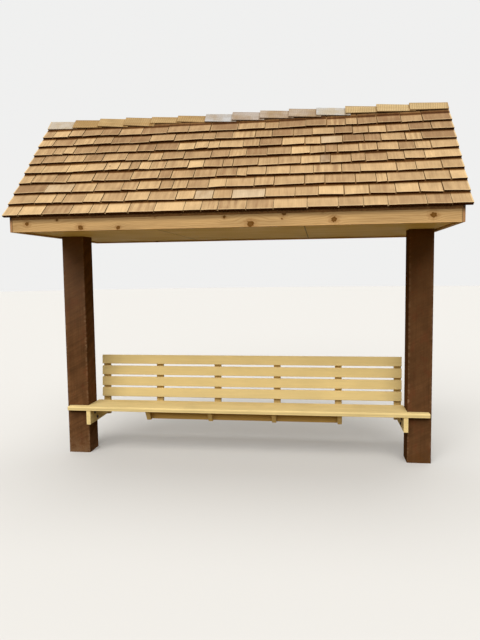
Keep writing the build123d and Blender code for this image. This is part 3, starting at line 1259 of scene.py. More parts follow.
class CedarLayer:
    """A mesh that alike cedar pieces are laid into, each with its own grain and tone."""

    def __init__(self, template: Mesh, width: float, exposure: float) -> None:
        """Start an empty layer.

        Args:
            template: The piece that is laid again and again.
            width: Its nominal width, along its X.
            exposure: The length that stays uncovered, along its Y.
        """
        self.template = template
        self.width = width
        self.exposure = exposure
        self.bm = bmesh.new()
        self.grain = self.bm.loops.layers.uv.new("grain")
        self.reach = self.bm.loops.layers.uv.new("reach")
        self.tone = self.bm.loops.layers.float_color.new("tone")

    def lay(self, place: Placing, look: Look) -> None:
        """Lay one more piece.

        Args:
            place: Takes a point of the template to its place on the roof.
            look: The piece's tone and grain.
        """
        first_vert, first_face = len(self.bm.verts), len(self.bm.faces)
        self.bm.from_mesh(self.template)
        self.bm.verts.ensure_lookup_table()
        self.bm.faces.ensure_lookup_table()
        for face in self.bm.faces[first_face:]:
            at_end = abs(face.normal.y) > FACING
            at_side = abs(face.normal.x) > FACING
            # the sides take part of the end grain's dark colour, partly as painted shade in the
            # gaps
            side = look.dark_and_shaded_sides[1 if face.normal.x > 0.0 else 0]
            dark = 1.0 if at_end else side if at_side else 0.0
            for loop in face.loops:
                flat = loop.vert.co
                u = flat.z if at_side else flat.x
                v = flat.z if at_end else flat.y
                loop[self.grain].uv = (u + look.offset[0], v + look.offset[1])
                loop[self.reach].uv = (flat.x / self.width + 0.5, flat.y / self.exposure)
                loop[self.tone] = (look.lightness, look.blush, look.silver, dark)
        for vert in self.bm.verts[first_vert:]:
            vert.co = place(vert.co)


def along_wedge(tops: Sequence[float], place: float, exposure: float) -> float:
    """Find the height of a lapped surface between the two nearest exposures.

    Args:
        tops: Its heights at the butt and after each exposure.
        place: The distance from the butt.
        exposure: The length that stays uncovered.

    Returns:
        The height.
    """
    step = min(max(place / exposure, 0.0), len(tops) - 1.001)
    index = int(step)
    share = step - index
    return tops[index] * (1.0 - share) + tops[index + 1] * share


@dataclass(frozen=True)
class ShingleForm:
    """A tapersawn shingle, drawn with its butt at Y = 0 and its length up the slope along Y."""

    exposure: float = 0.130
    tops: tuple[float, ...] = (0.029, 0.013, 0.0055, 0.0015, 0.0)
    courses_long: int = 3
    width: float = 0.14
    rim: float = 0.0014

    def template(self, under: int = 1) -> Mesh:
        """Draw one shingle.

        Args:
            under: How many courses lie between its underside and its own top, 1 on the roof.

        Returns:
            A mesh to copy.
        """
        bm = bmesh.new()
        half, length = self.width / 2, self.exposure * self.courses_long
        block(bm, (-half, 0.0, 0.0), (half, length, 1.0))
        for course in range(1, self.courses_long):
            slice_at(bm, (0.0, course * self.exposure, 0.0), (0.0, 1.0, 0.0))
        slice_at(bm, (0.0, 0.0, 0.0), (1.0, 0.0, 0.0))
        for vert in bm.verts:
            ahead = vert.co.y + (0.0 if vert.co.z > 0.5 else self.exposure * under)
            vert.co.z = along_wedge(self.tops, ahead, self.exposure)
        ease(bm, self.rim_edges(bm), self.rim)
        return as_mesh(bm, "shingle")

    def rim_edges(self, bm: BMesh) -> list[Any]:
        """Pick the edges round the butt and along the exposed top.

        Args:
            bm: The shingle before its edges are eased.

        Returns:
            The edges.
        """
        picked = []
        for edge in bm.edges:
            ends = [vert.co for vert in edge.verts]
            middle = (ends[0] + ends[1]) / 2
            at_butt = all(end.y < TOUCHING for end in ends) and abs(middle.x) > TOUCHING
            level = min(ends[0].z, ends[1].z) > self.tops[1] - TOUCHING
            exposed = level and middle.y < self.exposure and abs(middle.x) > self.width * 0.49
            if at_butt or exposed:
                picked.append(edge)
        return picked

    def middle(self, place: float) -> float:
        """Give the height midway up the shingle's thickness at a distance from its butt."""
        top = along_wedge(self.tops, place, self.exposure)
        return (top + along_wedge(self.tops, place + self.exposure, self.exposure)) / 2


@dataclass(frozen=True)
class Greyed:
    """A shingle that has gone grey: its course, a place on it along X, and how grey it is."""

    course: int
    x: float
    silver: float


@dataclass
class ShingleRoof:
    """The shingle courses of one slope, laid from the eave up with offset joints.

    A pair whose name ends in _up is a value at the eave and at the top course.
    """

    slope: Slope
    form: ShingleForm = ShingleForm()
    seeds: tuple[int, int] = (11, 12)
    eave_overhang: float = 0.006
    course_count: int = 9
    starter_setback: float = 0.005
    widths: Span = (0.080, 0.270)
    width_up: Span = (0.182, 0.148)
    width_spread: float = 0.042
    joint_tries: int = 24
    joint_gaps: Span = (0.0035, 0.0095)
    least_offset: float = 0.032
    eave_calm: float = 0.25
    butt_play: float = 0.005
    play_up: Span = (0.6, 1.5)
    course_bow: float = 0.011
    bow_start: float = 0.002
    end_rise: float = 0.012
    end_rise_up: Span = (0.35, 1.0)
    butt_waves: tuple[tuple[float, float, float], ...] = ((0.0025, 2.1, 1.7), (0.0018, 5.3, 0.9))
    lift: Span = (0.0, 0.0022)
    crown: Span = (-0.0008, 0.0016)
    skew: float = 0.0045
    stout: Span = (0.0, 0.0022)
    lightness_up: Span = (0.785, 0.505)
    middle_dim_up: Span = (0.09, 0.25)
    lightness_spread_up: Span = (0.22, 0.29)
    blush_up: Span = (0.04, 0.18)
    blush_spread: float = 0.24
    most_blush: float = 0.85
    starter_lightness: float = 0.8
    # how far a shingle's sides take the dark end-grain colour, partly as painted shade in the gaps
    dark_and_shaded_side: float = 0.55
    greyed: tuple[Greyed, ...] = (
        Greyed(2, -1.487, 0.45),
        Greyed(1, -0.226, 0.55),
        Greyed(1, 0.122, 0.60),
        Greyed(6, 0.752, 0.45),
        Greyed(4, 0.776, 0.35),
    )
    half_length: float = field(init=False)
    last_butt: float = field(init=False)

    def __post_init__(self) -> None:
        """Read the roof's length and place the lowest butts."""
        low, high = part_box(f"{self.slope.name}_shingles")
        self.half_length = (high.x - low.x) / 2
        self.last_butt = self.slope.eave_run + self.eave_overhang

    def build(self, cedar: Material) -> None:
        """Lay every course, the starter first.

        Args:
            cedar: The material of the shingles.
        """
        rng = random.Random(self.slope.own(self.seeds))
        joints: list[float] = []
        self.lay_starter(cedar)
        template = self.form.template()
        for course in range(self.course_count):
            joints = self.joints(rng, joints, between(self.width_up, self.share_up(course)))
            layer = CedarLayer(template, self.form.width, self.form.exposure)
            self.lay_course(layer, rng, course, joints)
            saw_off(layer.bm, ORIGIN, (0.0, -self.slope.side.value, 0.0))
            self.keep_layer(layer, f"course_{course + 1}", cedar)

    def keep_layer(self, layer: CedarLayer, part: str, cedar: Material) -> None:
        """Make a layer a piece of the roof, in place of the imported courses."""
        name, bm = self.slope.name, turn_outwards(layer.bm)
        place_piece(f"{name}_{part}", bm, cedar, "shingle_cedar", f"{name}_shingles")

    def share_up(self, course: int) -> float:
        """Give how far up the slope a course lies, 0 at the eave and 1 at the top."""
        return course / (self.course_count - 1)

    def looseness(self, course: int) -> float:
        """Give how far a course's shingles stray. The lowest is laid to a line at the eave."""
        return self.eave_calm if course == 0 else 1.0

    def lay_starter(self, cedar: Material) -> None:
        """Lay the strip under the first course, straight along the eave and a little set back.

        Args:
            cedar: The material of the shingles.
        """
        form = replace(self.form, tops=self.form.tops[1:] + (0.0,))
        layer = CedarLayer(form.template(under=4), form.width, form.exposure)
        butt = self.last_butt - self.starter_setback
        ends = (-self.half_length, self.half_length)
        look = Look(self.starter_lightness, 0.0, 0.0, (0.0, 0.0), (self.dark_and_shaded_side, self.dark_and_shaded_side))
        layer.lay(self.settle(None, ends, butt), look)
        self.keep_layer(layer, "starter", cedar)

    def joints(self, rng: random.Random, below: list[float], usual: float) -> list[float]:
        """Choose where the shingles of a course meet.

        Args:
            rng: The slope's own draws.
            below: The joints of the course below, which these avoid.
            usual: The usual width of a shingle in this course.

        Returns:
            Places along X, from end to end.
        """
        narrow, wide = self.widths
        found = [-self.half_length]
        while self.half_length - found[-1] > wide:
            for _ in range(self.joint_tries):
                step = min(max(rng.gauss(usual, self.width_spread), narrow), wide)
                place = found[-1] + step
                clear = all(abs(place - other) > self.least_offset for other in below)
                if clear and self.half_length - place > narrow:
                    break
            found.append(place)
        return found + [self.half_length]

    def butt_line(self, course: int, x: float) -> float:
        """Draw the line that a course's butts follow.

        Args:
            course: The course's number, 0 at the eave.
            x: The place along the roof.

        Returns:
            How far down the slope the butts lie there.
        """
        up = self.share_up(course)
        bow = self.course_bow * sin(pi * up) - self.bow_start
        rise = self.end_rise * between(self.end_rise_up, up) * abs(x / self.half_length) ** 4
        wave = sum(tall * sin(turn * x + lag * course) for tall, turn, lag in self.butt_waves)
        straight = self.last_butt - course * self.form.exposure
        return straight - bow + (wave - rise) * self.looseness(course)

    def lay_course(
        self, layer: CedarLayer, rng: random.Random, course: int, joints: list[float]
    ) -> None:
        """Lay one course of shingles.

        Args:
            layer: The mesh that they go into.
            rng: The slope's own draws.
            course: The course's number, 0 at the eave.
            joints: Where the shingles meet.
        """
        play = self.butt_play * between(self.play_up, self.share_up(course))
        loose = self.looseness(course)
        gap = 0.0
        for left, right in zip(joints[:-1], joints[1:]):
            left_end = left + gap / 2
            gap = rng.uniform(*self.joint_gaps) if right < joints[-1] else 0.0
            right_end = right - gap / 2
            middle = (left_end + right_end) / 2
            butt = self.butt_line(course, middle) + rng.uniform(-play, play) * loose
            place = self.settle(rng, (left_end, right_end), butt, loose)
            layer.lay(place, self.look(rng, course, (left, right)))

    def settle(
        self, rng: random.Random | None, ends: Span, butt: float, loose: float = 1.0
    ) -> Placing:
        """Choose how one shingle lies.

        Args:
            rng: The slope's own draws, or none for a shingle that lies quite flat.
            ends: The shingle's sides along X.
            butt: Its butt's distance down the slope.
            loose: How far it may lie askew, 1 for the usual.

        Returns:
            What takes a point of the template to its place.
        """
        grown = (ends[1] - ends[0] - self.form.width) / 2
        middle = (ends[0] + ends[1]) / 2
        half = (ends[1] - ends[0]) / 2
        lifts, crown, skew, stout = (0.0, 0.0), 0.0, 0.0, 0.0
        if rng is not None:
            lifts = rng.uniform(*self.lift), rng.uniform(*self.lift)
            crown = rng.uniform(*self.crown)
            skew = rng.uniform(-self.skew, self.skew) * loose
            stout = rng.uniform(*self.stout)

        def place(point: Vector) -> Vector:
            """Take a point of the template to the roof.

            Args:
                point: The point.

            Returns:
                Its place in the shelter's frame.
            """
            aside = grown if point.x > TOUCHING else -grown if point.x < -TOUCHING else 0.0
            share = (point.x + aside) / half
            free = max(0.0, 1.0 - point.y / self.form.exposure)
            tilt = lifts[0] * (1.0 - share) / 2 + lifts[1] * (1.0 + share) / 2
            cup = crown * (1.0 - share * share)
            thick = stout if point.z > self.form.middle(point.y) else 0.0
            height = point.z + free * (tilt + max(cup, 0.0) + thick)
            run = butt - point.y + skew * share * free
            return self.slope.point(middle + point.x + aside, run, height)

        return place

    def look(self, rng: random.Random, course: int, ends: Span) -> Look:
        """Choose one shingle's tone and grain.

        Args:
            rng: The slope's own draws.
            course: Its course's number, 0 at the eave: the upper ones are duller and redder.
            ends: Its sides along X.

        Returns:
            The look, silvered if it is one of the few that have gone grey.
        """
        up = self.share_up(course)
        inward = 1.0 - (sum(ends) / 2 / self.half_length) ** 2
        bright = between(self.lightness_up, up) - between(self.middle_dim_up, up) * inward
        lightness = rng.gauss(bright, between(self.lightness_spread_up, up))
        lightness = min(max(lightness, 0.0), 1.0)
        blush = rng.gauss(between(self.blush_up, up), self.blush_spread)
        blush = min(max(blush, 0.0), self.most_blush)
        offset = grain_offset(rng)
        grey = sum(
            one.silver for one in self.greyed if one.course == course and ends[0] < one.x < ends[1]
        )
        dark_and_shaded_sides = (
            0.0 if ends[0] <= -self.half_length else self.dark_and_shaded_side,
            0.0 if ends[1] >= self.half_length else self.dark_and_shaded_side,
        )
        return Look(lightness, blush, grey, offset, dark_and_shaded_sides)


@dataclass(frozen=True)
class CapBoard:
    """One ridge cap: its tone, the length it shows, and its width and lift at both ends."""

    tone: CapTone
    shown: float
    widths: Span
    lifts: Span


@dataclass
class RidgeCaps:
    """The cap boards along the ridge, lapped end over end and turn about at the top."""

    slope: Slope
    seeds: tuple[int, int] = (21, 22)
    tops: tuple[float, ...] = (0.031, 0.020, 0.0115)
    soles: tuple[float, ...] = (0.020, 0.0138, 0.0076)
    usual_shown: float = 0.247
    usual_width: float = 0.084
    lap: float = 0.17
    rim: float = 0.0015
    tone_play: float = 0.05
    dark_and_shaded_side: float = 0.35
    boards: tuple[CapBoard, ...] = (
        CapBoard(CapTone.CREAM, 0.240, (0.084, 0.089), (-0.004, 0.0)),
        CapBoard(CapTone.TAN, 0.236, (0.088, 0.092), (0.0, 0.003)),
        CapBoard(CapTone.GOLDEN, 0.243, (0.083, 0.103), (0.003, 0.002)),
        CapBoard(CapTone.GOLDEN, 0.243, (0.087, 0.105), (0.001, -0.001)),
        CapBoard(CapTone.GOLDEN, 0.241, (0.062, 0.068), (-0.006, -0.005)),
        CapBoard(CapTone.GOLDEN, 0.255, (0.059, 0.076), (-0.006, -0.006)),
        CapBoard(CapTone.SILVER, 0.239, (0.082, 0.094), (-0.005, -0.003)),
        CapBoard(CapTone.GREY_TAN, 0.244, (0.086, 0.096), (0.0, 0.001)),
        CapBoard(CapTone.PINKISH, 0.251, (0.081, 0.091), (0.002, 0.002)),
        CapBoard(CapTone.PINKISH, 0.236, (0.085, 0.097), (0.004, 0.005)),
        CapBoard(CapTone.PALE_GREY, 0.246, (0.077, 0.088), (0.001, 0.001)),
        CapBoard(CapTone.HONEY, 0.260, (0.072, 0.067), (0.002, 0.003)),
        CapBoard(CapTone.HONEY, 0.272, (0.077, 0.075), (0.005, 0.004)),
        CapBoard(CapTone.HONEY, 0.314, (0.071, 0.073), (0.002, 0.009)),
    )

    def template(self, length: float) -> Mesh:
        """Draw one cap board: X runs down the slope, Y along the ridge.

        Args:
            length: The board's length along the ridge.

        Returns:
            A mesh to copy.
        """
        bm = bmesh.new()
        block(bm, (0.0, 0.0, 0.0), (self.usual_width, length, 1.0))
        slice_at(bm, (0.0, self.usual_shown, 0.0), (0.0, 1.0, 0.0))
        for vert in bm.verts:
            heights = self.tops if vert.co.z > 0.5 else self.soles
            vert.co.z = along_wedge(heights, vert.co.y, self.usual_shown)
        rim_edges = [
            edge
            for edge in bm.edges
            if all(
                vert.co.x > self.usual_width * 0.99 or vert.co.y < TOUCHING for vert in edge.verts
            )
        ]
        ease(bm, rim_edges, self.rim)
        return as_mesh(bm, "cap")

    def build(self, cedar: Material) -> None:
        """Lay the caps from left to right, each thick end over the thin end before it.

        Args:
            cedar: The material of the caps.
        """
        node = f"{self.slope.name}_ridge_caps"
        low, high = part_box(node)
        rng = random.Random(self.slope.own(self.seeds))
        start = low.x
        for index, board in enumerate(self.boards):
            last = index == len(self.boards) - 1
            length = high.x - start if last else board.shown * (1.0 + self.lap)
            layer = CedarLayer(self.template(length), self.usual_width, board.shown)
            over = (index % 2 == 0) == (self.slope.side is Side.FRONT)
            offset = grain_offset(rng)
            lightness, blush, silver = board.tone.value
            lightness += rng.uniform(-self.tone_play, self.tone_play)
            look = Look(lightness, blush, silver, offset, (self.dark_and_shaded_side, self.dark_and_shaded_side))
            layer.lay(self.settle(board, start, over), look)
            name = f"{self.slope.name}_cap_{index + 1}"
            place_piece(name, turn_outwards(layer.bm), cedar, "shingle_cedar", node)
            start += board.shown

    def settle(self, board: CapBoard, start: float, over: bool) -> Placing:
        """Choose how one cap lies.

        Args:
            board: The cap.
            start: Its thick end along X.
            over: Whether its top edge covers that of the cap on the other slope.

        Returns:
            What takes a point of the template to its place.
        """

        def place(point: Vector) -> Vector:
            """Take a point of the template to the ridge.

            Args:
                point: The point.

            Returns:
                Its place in the shelter's frame.
            """
            share = point.x / self.usual_width
            along = min(point.y / board.shown, 1.0 + self.lap)
            other = along_wedge(self.tops if over else self.soles, point.y, self.usual_shown)
            ridge = (point.z * cos(2 * ROOF_SLOPE) - other) / sin(2 * ROOF_SLOPE)
            run = ridge * (1.0 - share) + between(board.widths, along) * share
            placed = self.slope.point(start + point.y, run, point.z)
            placed.z += between(board.lifts, along)
            return placed

        return place


@dataclass
class Roof:
    """The shingles and ridge caps of both slopes, in their two kinds of cedar."""

    shingle: ShingleFinish = ShingleFinish(
        "shingle_cedar",
        shade_growth=0.06,
        marks=(Mark((-1.024, -0.490, 2.562), 0.012), Mark((1.230, -0.800, 2.241), 0.009)),
    )
    cap: ShingleFinish = ShingleFinish(
        "cap_cedar",
        light=(0.475, 0.355, 0.185),
        tan=(0.305, 0.188, 0.076),
        fresh_highlight=(0.50, 0.37, 0.20),
        fresh_butt_highlight=0.0,
        fresh_side_highlight=0.0,
        end_grain_and_shade=(0.15, 0.075, 0.03),
        silver=(0.39, 0.395, 0.405),
        saw_pitch=0.019,
        saw_depth=0.0004,
        saw_tint=0.11,
        # painted shade under the caps' thick ends
        painted_shade_reach=(0.93, 1.0),
        cover_shade=0.6,
    )

    def build(self) -> None:
        """Lay both slopes, each from the eave to the ridge."""
        shingle, cap = self.shingle.material(), self.cap.material()
        for side in Side:
            slope = Slope.of(side)
            ShingleRoof(slope).build(shingle)
            RidgeCaps(slope).build(cap)


@dataclass
class GableCladding:
    """Upright boards that close both gables, with chamfered joints."""

    board_width: float = 0.140
    chamfer: float = 0.003
    spare: float = 0.01

    def build(self, cedar: Material) -> None:
        """Clad both gables.

        Args:
            cedar: The material of the boards.
        """
        for side in ("left", "right"):
            node = f"{side}_gable_panel"
            bm = self.boards(*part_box(node))
            place_piece(f"{side}_gable_boards", bm, cedar, "trim_cedar", node)

    def boards(self, low: Vector, high: Vector) -> BMesh:
        """Stand boards side by side and saw them off along both slopes.

        Args:
            low: The lowest corner of the gable's panel.
            high: Its highest corner, level with the gable's point.

        Returns:
            The boards.
        """
        bm = bmesh.new()
        count = round((high.y - low.y) / self.board_width)
        pitch = (high.y - low.y) / count
        for index in range(count):
            left = low.y + index * pitch
            right = left + pitch
            board = bmesh.new()
            corners = block(board, (low.x, left, low.z), (high.x, right, high.z + self.spare))
            uprights = [
                edge
                for edge in edges_at(corners)
                if abs(edge.verts[0].co.z - edge.verts[1].co.z) > TOUCHING
            ]
            ease(board, uprights, self.chamfer)
            add_part(bm, board)
        for side in Side:
            outward = (0.0, side.value * sin(ROOF_SLOPE), cos(ROOF_SLOPE))
            saw_off(bm, (0.0, 0.0, high.z), outward)
        return turn_outwards(bm)


@dataclass
class Fasteners:
    """Painted screws in the slats, and the bolts that hold the end joists to the posts."""

    screw_radius: float = 0.0042
    screw_taper: float = 0.82
    screw_height: float = 0.0007
    screw_sunk: float = 0.0001
    screw_sides: int = 12
    screw_offset: float = 0.024
    screw_stagger: float = 0.006
    recess_rim: float = 0.4
    recess_depth: float = 0.5
    slat_thickness: float = 0.038
    bolt_sides: int = 6
    bolt_radius: float = 0.0105
    bolt_height: float = 0.008
    bolt_easing: float = 0.0012
    washer_radius: float = 0.017
    washer_height: float = 0.0025
    washer_sides: int = 28
    washer_easing: float = 0.0006
    bolt_places: tuple[Span, ...] = ((-0.055, 0.377), (0.004, 0.320))

    def slat_screws(self, paint: Material, nodes: dict[str, Any]) -> None:
        """Set two screws where each slat crosses an upright.

        Args:
            paint: The paint over them.
            nodes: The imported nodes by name.
        """
        bm = bmesh.new()
        up = Vector((0.0, sin(BACK_LEAN), cos(BACK_LEAN)))
        out = Vector((0.0, -cos(BACK_LEAN), sin(BACK_LEAN)))
        turn = out.to_track_quat("Z", "Y").to_matrix().to_4x4()
        slats = sorted(name for name in nodes if name.startswith("back_slat_"))
        uprights = sorted(name for name in nodes if name.startswith("back_upright_"))
        for slat in slats:
            low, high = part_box(slat)
            face = (low + high) / 2 + out * self.slat_thickness / 2
            for upright in uprights:
                left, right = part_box(upright)
                for sign in (-1, 1):
                    spot = face + up * sign * self.screw_offset
                    spot.x = (left.x + right.x) / 2 + sign * self.screw_stagger
                    self.screw(bm, Matrix.Translation(spot) @ turn, out)
        place_piece("slat_screws", bm, paint, "bench_paint")

    def screw(self, bm: BMesh, place: Matrix, out: Vector) -> None:
        """Add one flat screw head with a shallow recess.

        Args:
            bm: The mesh to add it to.
            place: Its place, with Z out of the wood.
            out: The same way in the shelter's frame.
        """
        radii = (self.screw_radius, self.screw_radius * self.screw_taper)
        head = prism(bm, place, self.screw_sides, radii, -self.screw_sunk, self.screw_height)
        faces = {face for vert in head for face in vert.link_faces}
        top = [
            face
            for face in faces
            if len(face.verts) == self.screw_sides and face.normal.dot(out) > FACING
        ]
        bmesh.ops.inset_region(bm, faces=top, thickness=self.screw_radius * self.recess_rim)
        sunk = out * -self.screw_height * self.recess_depth
        bmesh.ops.translate(bm, verts=top[0].verts[:], vec=sunk)

    def joist_bolts(self, zinc: Material) -> None:
        """Set the bolts through both end joists.

        Args:
            zinc: Their metal.
        """
        for side, node, sign in (("left", "seat_joist_1", 1), ("right", "seat_joist_6", -1)):
            low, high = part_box(node)
            face = high.x if sign > 0 else low.x
            bm = bmesh.new()
            turn = Matrix.Rotation(sign * pi / 2, 4, "Y")
            for y, z in self.bolt_places:
                self.bolt(bm, Matrix.Translation((face, y, z)) @ turn)
            place_piece(f"{side}_joist_bolts", turn_outwards(bm), zinc, "frame_lumber")

    def bolt(self, bm: BMesh, place: Matrix) -> None:
        """Add one hexagon head on its washer.

        Args:
            bm: The mesh to add it to.
            place: Its place, with Z out of the wood.
        """
        thick, tall = self.washer_height, self.bolt_height
        stack = (
            (self.washer_sides, self.washer_radius, 0.0, thick, self.washer_easing),
            (self.bolt_sides, self.bolt_radius, thick, tall, self.bolt_easing),
        )
        for sides, radius, foot, height, easing in stack:
            part = bmesh.new()
            verts = prism(part, place, sides, (radius, radius), foot, height)
            ease(part, self.outer_rim(verts, place, foot + height), easing, 2)
            add_part(bm, part)

    def outer_rim(self, verts: list[Any], place: Matrix, height: float) -> list[Any]:
        """Pick the edges round the outer end of a head or washer.

        Args:
            verts: Its vertices.
            place: Its place, with Z out of the wood.
            height: Where its outer end is along Z.

        Returns:
            The edges.
        """
        back = place.inverted()
        return [
            edge
            for edge in edges_at(verts)
            if all(abs((back @ vert.co).z - height) < TOUCHING for vert in edge.verts)
        ]


@dataclass
class Posts:
    """The two stained posts, of which the right one is the darker."""

    right_fade: float = 0.89
    # painted light on the right post's front top
    right_top_light_color: Color = (0.18, 0.085, 0.035)
    # Dust at the right post's foot, darker and redder, partly as painted shade.
    right_dust_and_shade: Color = (0.10, 0.042, 0.012)
    right_rubbed: Span = (0.50, 0.62)
    right_saw_tint: float = 0.03
    right_band_tint: float = 0.06

    def dress(self, nodes: dict[str, Any]) -> None:
        """Stain both posts.

        Args:
            nodes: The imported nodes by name.
        """
        left, right = self.stain("left"), self.stain("right")
        right = replace(
            right,
            fade=self.right_fade,
            top_light_color=self.right_top_light_color,
            dust=self.right_dust_and_shade,
            rubbed=self.right_rubbed,
            saw_tint=self.right_saw_tint,
            band_tint=self.right_band_tint,
        )
        dress(nodes, left, "left_post")
        dress(nodes, right, "right_post")

    def stain(self, side: str) -> StainFinish:
        """Fit the usual stain to one side's post."""
        low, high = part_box(f"{side}_post")
        return StainFinish(f"{side}_post_stain", (low.x + high.x) / 2, (high.x - low.x) / 2)


@dataclass
class Bench:
    """The painted seat, its frame and the slatted back."""

    slat_mark: Mark = Mark((-0.092, 0.262, 0.841), 0.007)
    nosing_height: float = 0.430
    coarse_streak: float = 0.10
    # Darker, warmer copies of the cream paint under the seat and behind the slats, partly as
    # painted shade.
    low_joist_shaded_color: Color = (0.56, 0.38, 0.135)
    blocking_shaded_color: Color = (0.49, 0.30, 0.085)
    upright_shaded_color: Color = (0.58, 0.40, 0.15)

    def dress(self, nodes: dict[str, Any]) -> Material:
        """Paint the bench.

        Args:
            nodes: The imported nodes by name.

        Returns:
            The paint of the slats, for what is set into them.
        """
        nosing = (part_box("seat_plank")[0].y, self.nosing_height)
        streak = self.coarse_streak
        slats = PaintFinish(
            "slat_paint", streak=0.03, mottle=0.05, marks=(self.slat_mark,), painted_top_light=0.15
        )
        plank = PaintFinish("plank_paint", mottle=0.10, nosing=nosing)
        # paint darkened partly as painted shade
        blocking = PaintFinish("blocking_shaded_paint", color=self.blocking_shaded_color)
        joists = PaintFinish("joist_paint", Grain.ALONG_Y, streak=streak)
        low_joists = replace(joists, name="low_joist_shaded_paint", color=self.low_joist_shaded_color)
        uprights = PaintFinish("upright_shaded_paint", Grain.UPRIGHT, self.upright_shaded_color, streak)
        dress(nodes, plank, "seat_plank")
        dress(nodes, blocking, "seat_blocking")
        dress(nodes, joists, "seat_joist_1", "seat_joist_6")
        dress(nodes, low_joists, *(f"seat_joist_{number}" for number in range(2, 6)))
        dress(nodes, uprights, "back_upright_")
        return dress(nodes, slats, "back_slat_")


@dataclass
class RoofTrim:
    """The cedar boards round the roof, the soffit and the closed-in frame."""

    soffit_seams: tuple[float, ...] = (-0.58, 0.58)
    soffit_color: Color = (0.72, 0.52, 0.20)
    lumber_light: Color = (0.50, 0.33, 0.17)
    core_color: Color = (0.40, 0.24, 0.11)
    fascia_face: float = 0.093
    fascia_knots: tuple[Knot, ...] = (
        Knot(-1.567, 2.071, 0.017),
        Knot(-1.318, 2.098, 0.012),
        Knot(-1.131, 2.033, 0.021),
        Knot(-0.827, 2.025, 0.015),
        Knot(-0.538, 2.108, 0.012),
        Knot(-0.006, 2.085, 0.011),
        Knot(0.190, 2.031, 0.026),
        Knot(0.438, 2.098, 0.015),
        Knot(0.423, 2.062, 0.006),
        Knot(0.719, 2.110, 0.011),
        Knot(0.799, 2.048, 0.021),
        Knot(1.495, 2.062, 0.022),
    )

    def dress(self, nodes: dict[str, Any]) -> Material:
        """Finish the trim, the soffit and the frame.

        Args:
            nodes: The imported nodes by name.

        Returns:
            The cedar of the gable boards.
        """
        low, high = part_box("front_fascia")
        rims = (low.z, low.z + self.fascia_face)
        rear_fascia = CedarFinish("rear_fascia_cedar", Grain.ALONG_X, rims=rims, joint=high.x)
        front_fascia = replace(rear_fascia, name="front_fascia_cedar", knots=self.fascia_knots)
        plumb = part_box("left_rear_rake")[1].y
        rear_rake = CedarFinish(
            "rear_rake_cedar", Grain.DOWN_REAR_RAKE, rims=rims, plumb_cut=plumb
        )
        front_rake = replace(rear_rake, name="front_rake_cedar", grain=Grain.DOWN_FRONT_RAKE)
        soffit = PaintFinish(
            "soffit_paint",
            color=self.soffit_color,
            streak=0.02,
            mottle=0.05,
            grain_depth=0.0001,
            sheen=0.035,
            joints=self.soffit_seams,
        )
        lumber = CedarFinish("frame_lumber", Grain.ALONG_X, light=self.lumber_light)
        dress(nodes, soffit, "soffit")
        dress(nodes, front_fascia, "front_fascia")
        dress(nodes, rear_fascia, "rear_fascia")
        dress(nodes, CedarFinish("band_cedar", Grain.ALONG_Y), "gable_band")
        dress(nodes, front_rake, "front_rake")
        dress(nodes, rear_rake, "rear_rake")
        dress(nodes, SheathingFinish("deck_sheathing"), "deck")
        dress(nodes, SheathingFinish("shingle_core", self.core_color), "shingles", "ridge_caps")
        dress(nodes, lumber, "header_beam", "ridge_board", "rafters", "ceiling_joists")
        return dress(nodes, CedarFinish("gable_cedar", Grain.UPRIGHT_ON_GABLE), "gable_panel")


@dataclass(frozen=True)
class Lamp:
    """A bright part of the sky: where it stands over the open front, and how broad it is."""

    name: str
    strength: float
    elevation: float
    heading: float
    spread: float


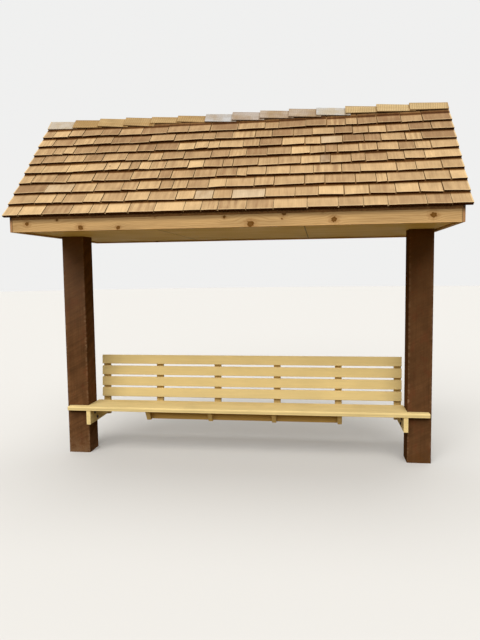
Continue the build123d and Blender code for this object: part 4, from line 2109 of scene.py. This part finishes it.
@dataclass
class Studio:
    """A plain pale floor, soft light from the open front, and the photograph's camera."""

    stand: Point = (0.69505, -5.10689, 1.67188)
    heading: float = -0.13933
    tip: float = 0.0829
    roll: float = 0.0124
    lens: float = 32.041
    sensor: float = 36.0
    high_sky: Color = (0.62, 0.61, 0.59)
    front_sky: Color = (0.46, 0.43, 0.36)
    side_sky: Color = (0.29, 0.235, 0.13)
    front_turn: Span = (0.3, -0.5)
    high_up: float = sin(radians(35.0))
    lamp_color: Color = (1.0, 0.985, 0.955)
    background: Color = (0.87, 0.87, 0.865)
    floor_shown: Color = (0.60, 0.595, 0.585)
    floor_bounce: Color = (0.125, 0.085, 0.021)
    floor_radius: float = 60.0
    floor_sides: int = 96
    lamps: tuple[Lamp, ...] = (
        Lamp("front_sky", 3.1, radians(42.0), radians(-5.0), radians(55.0)),
        Lamp("high_sky", 0.85, radians(100.0), radians(0.0), radians(40.0)),
    )

    def build(self) -> None:
        """Set up the floor, the light and the camera."""
        self.lay_floor()
        self.light_world()
        self.hang_lamps()
        self.place_camera()
        bpy.context.scene.view_settings.view_transform = "Standard"

    def lay_floor(self) -> None:
        """Lay the round floor, pale to the camera and earth-toned in what it bounces."""
        bm = bmesh.new()
        bmesh.ops.create_circle(
            bm, cap_ends=True, segments=self.floor_sides, radius=self.floor_radius
        )
        graph = Graph("studio_floor")
        shown = graph.step("ShaderNodeBsdfDiffuse", self.floor_shown)[0]
        bounced = graph.step("ShaderNodeBsdfDiffuse", self.floor_bounce)[0]
        mesh = as_mesh(bm, "floor")
        mesh.materials.append(graph.end_in(graph.seen_or_lit(shown, bounced)))
        add_object("studio_floor", mesh)

    def light_world(self) -> None:
        """Light the shelter from a pale sky, open in front and low and warm round the sides."""
        graph = Graph("studio", bpy.data.worlds)
        _, y, z = graph.split(graph.node("ShaderNodeTexCoord").outputs["Generated"])
        around = graph.mix(graph.remap(y, self.front_turn), self.side_sky, self.front_sky)
        sky = graph.mix(graph.remap(z, (0.0, self.high_up)), around, self.high_sky)
        lit = graph.step("ShaderNodeBackground", sky)[0]
        seen = graph.step("ShaderNodeBackground", self.background)[0]
        choice = graph.seen_or_lit(seen, lit)
        bpy.context.scene.world = graph.end_in(choice, "ShaderNodeOutputWorld")

    def hang_lamps(self) -> None:
        """Add the bright parts of the sky, each broad and soft."""
        for lamp in self.lamps:
            light = bpy.data.lights.new(lamp.name, "SUN")
            light.energy = lamp.strength
            light.angle = lamp.spread
            light.color = self.lamp_color
            sun = add_object(lamp.name, light)
            sun.rotation_euler = (pi / 2 - lamp.elevation, 0.0, lamp.heading)

    def place_camera(self) -> None:
        """Stand the camera where the photograph was taken from."""
        camera = bpy.data.cameras.new("photo_view")
        camera.lens = self.lens
        camera.sensor_width = self.sensor
        eye = add_object("photo_view", camera)
        turn = (
            Matrix.Rotation(-self.heading, 4, "Z")
            @ Matrix.Rotation(pi / 2 - self.tip, 4, "X")
            @ Matrix.Rotation(-self.roll, 4, "Z")
        )
        eye.matrix_world = Matrix.Translation(self.stand) @ turn
        bpy.context.scene.camera = eye


def main() -> None:
    """Build the shelter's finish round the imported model."""
    logging.basicConfig(level=logging.INFO, format="%(name)s: %(message)s")
    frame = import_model()
    nodes = frame["nodes"]
    Studio().build()
    Posts().dress(nodes)
    slat_paint = Bench().dress(nodes)
    gable_cedar = RoofTrim().dress(nodes)
    Roof().build()
    GableCladding().build(gable_cedar)
    fasteners = Fasteners()
    fasteners.slat_screws(slat_paint, nodes)
    fasteners.joist_bolts(ZincFinish("bolt_zinc").material())


if __name__ == "__main__":
    main()
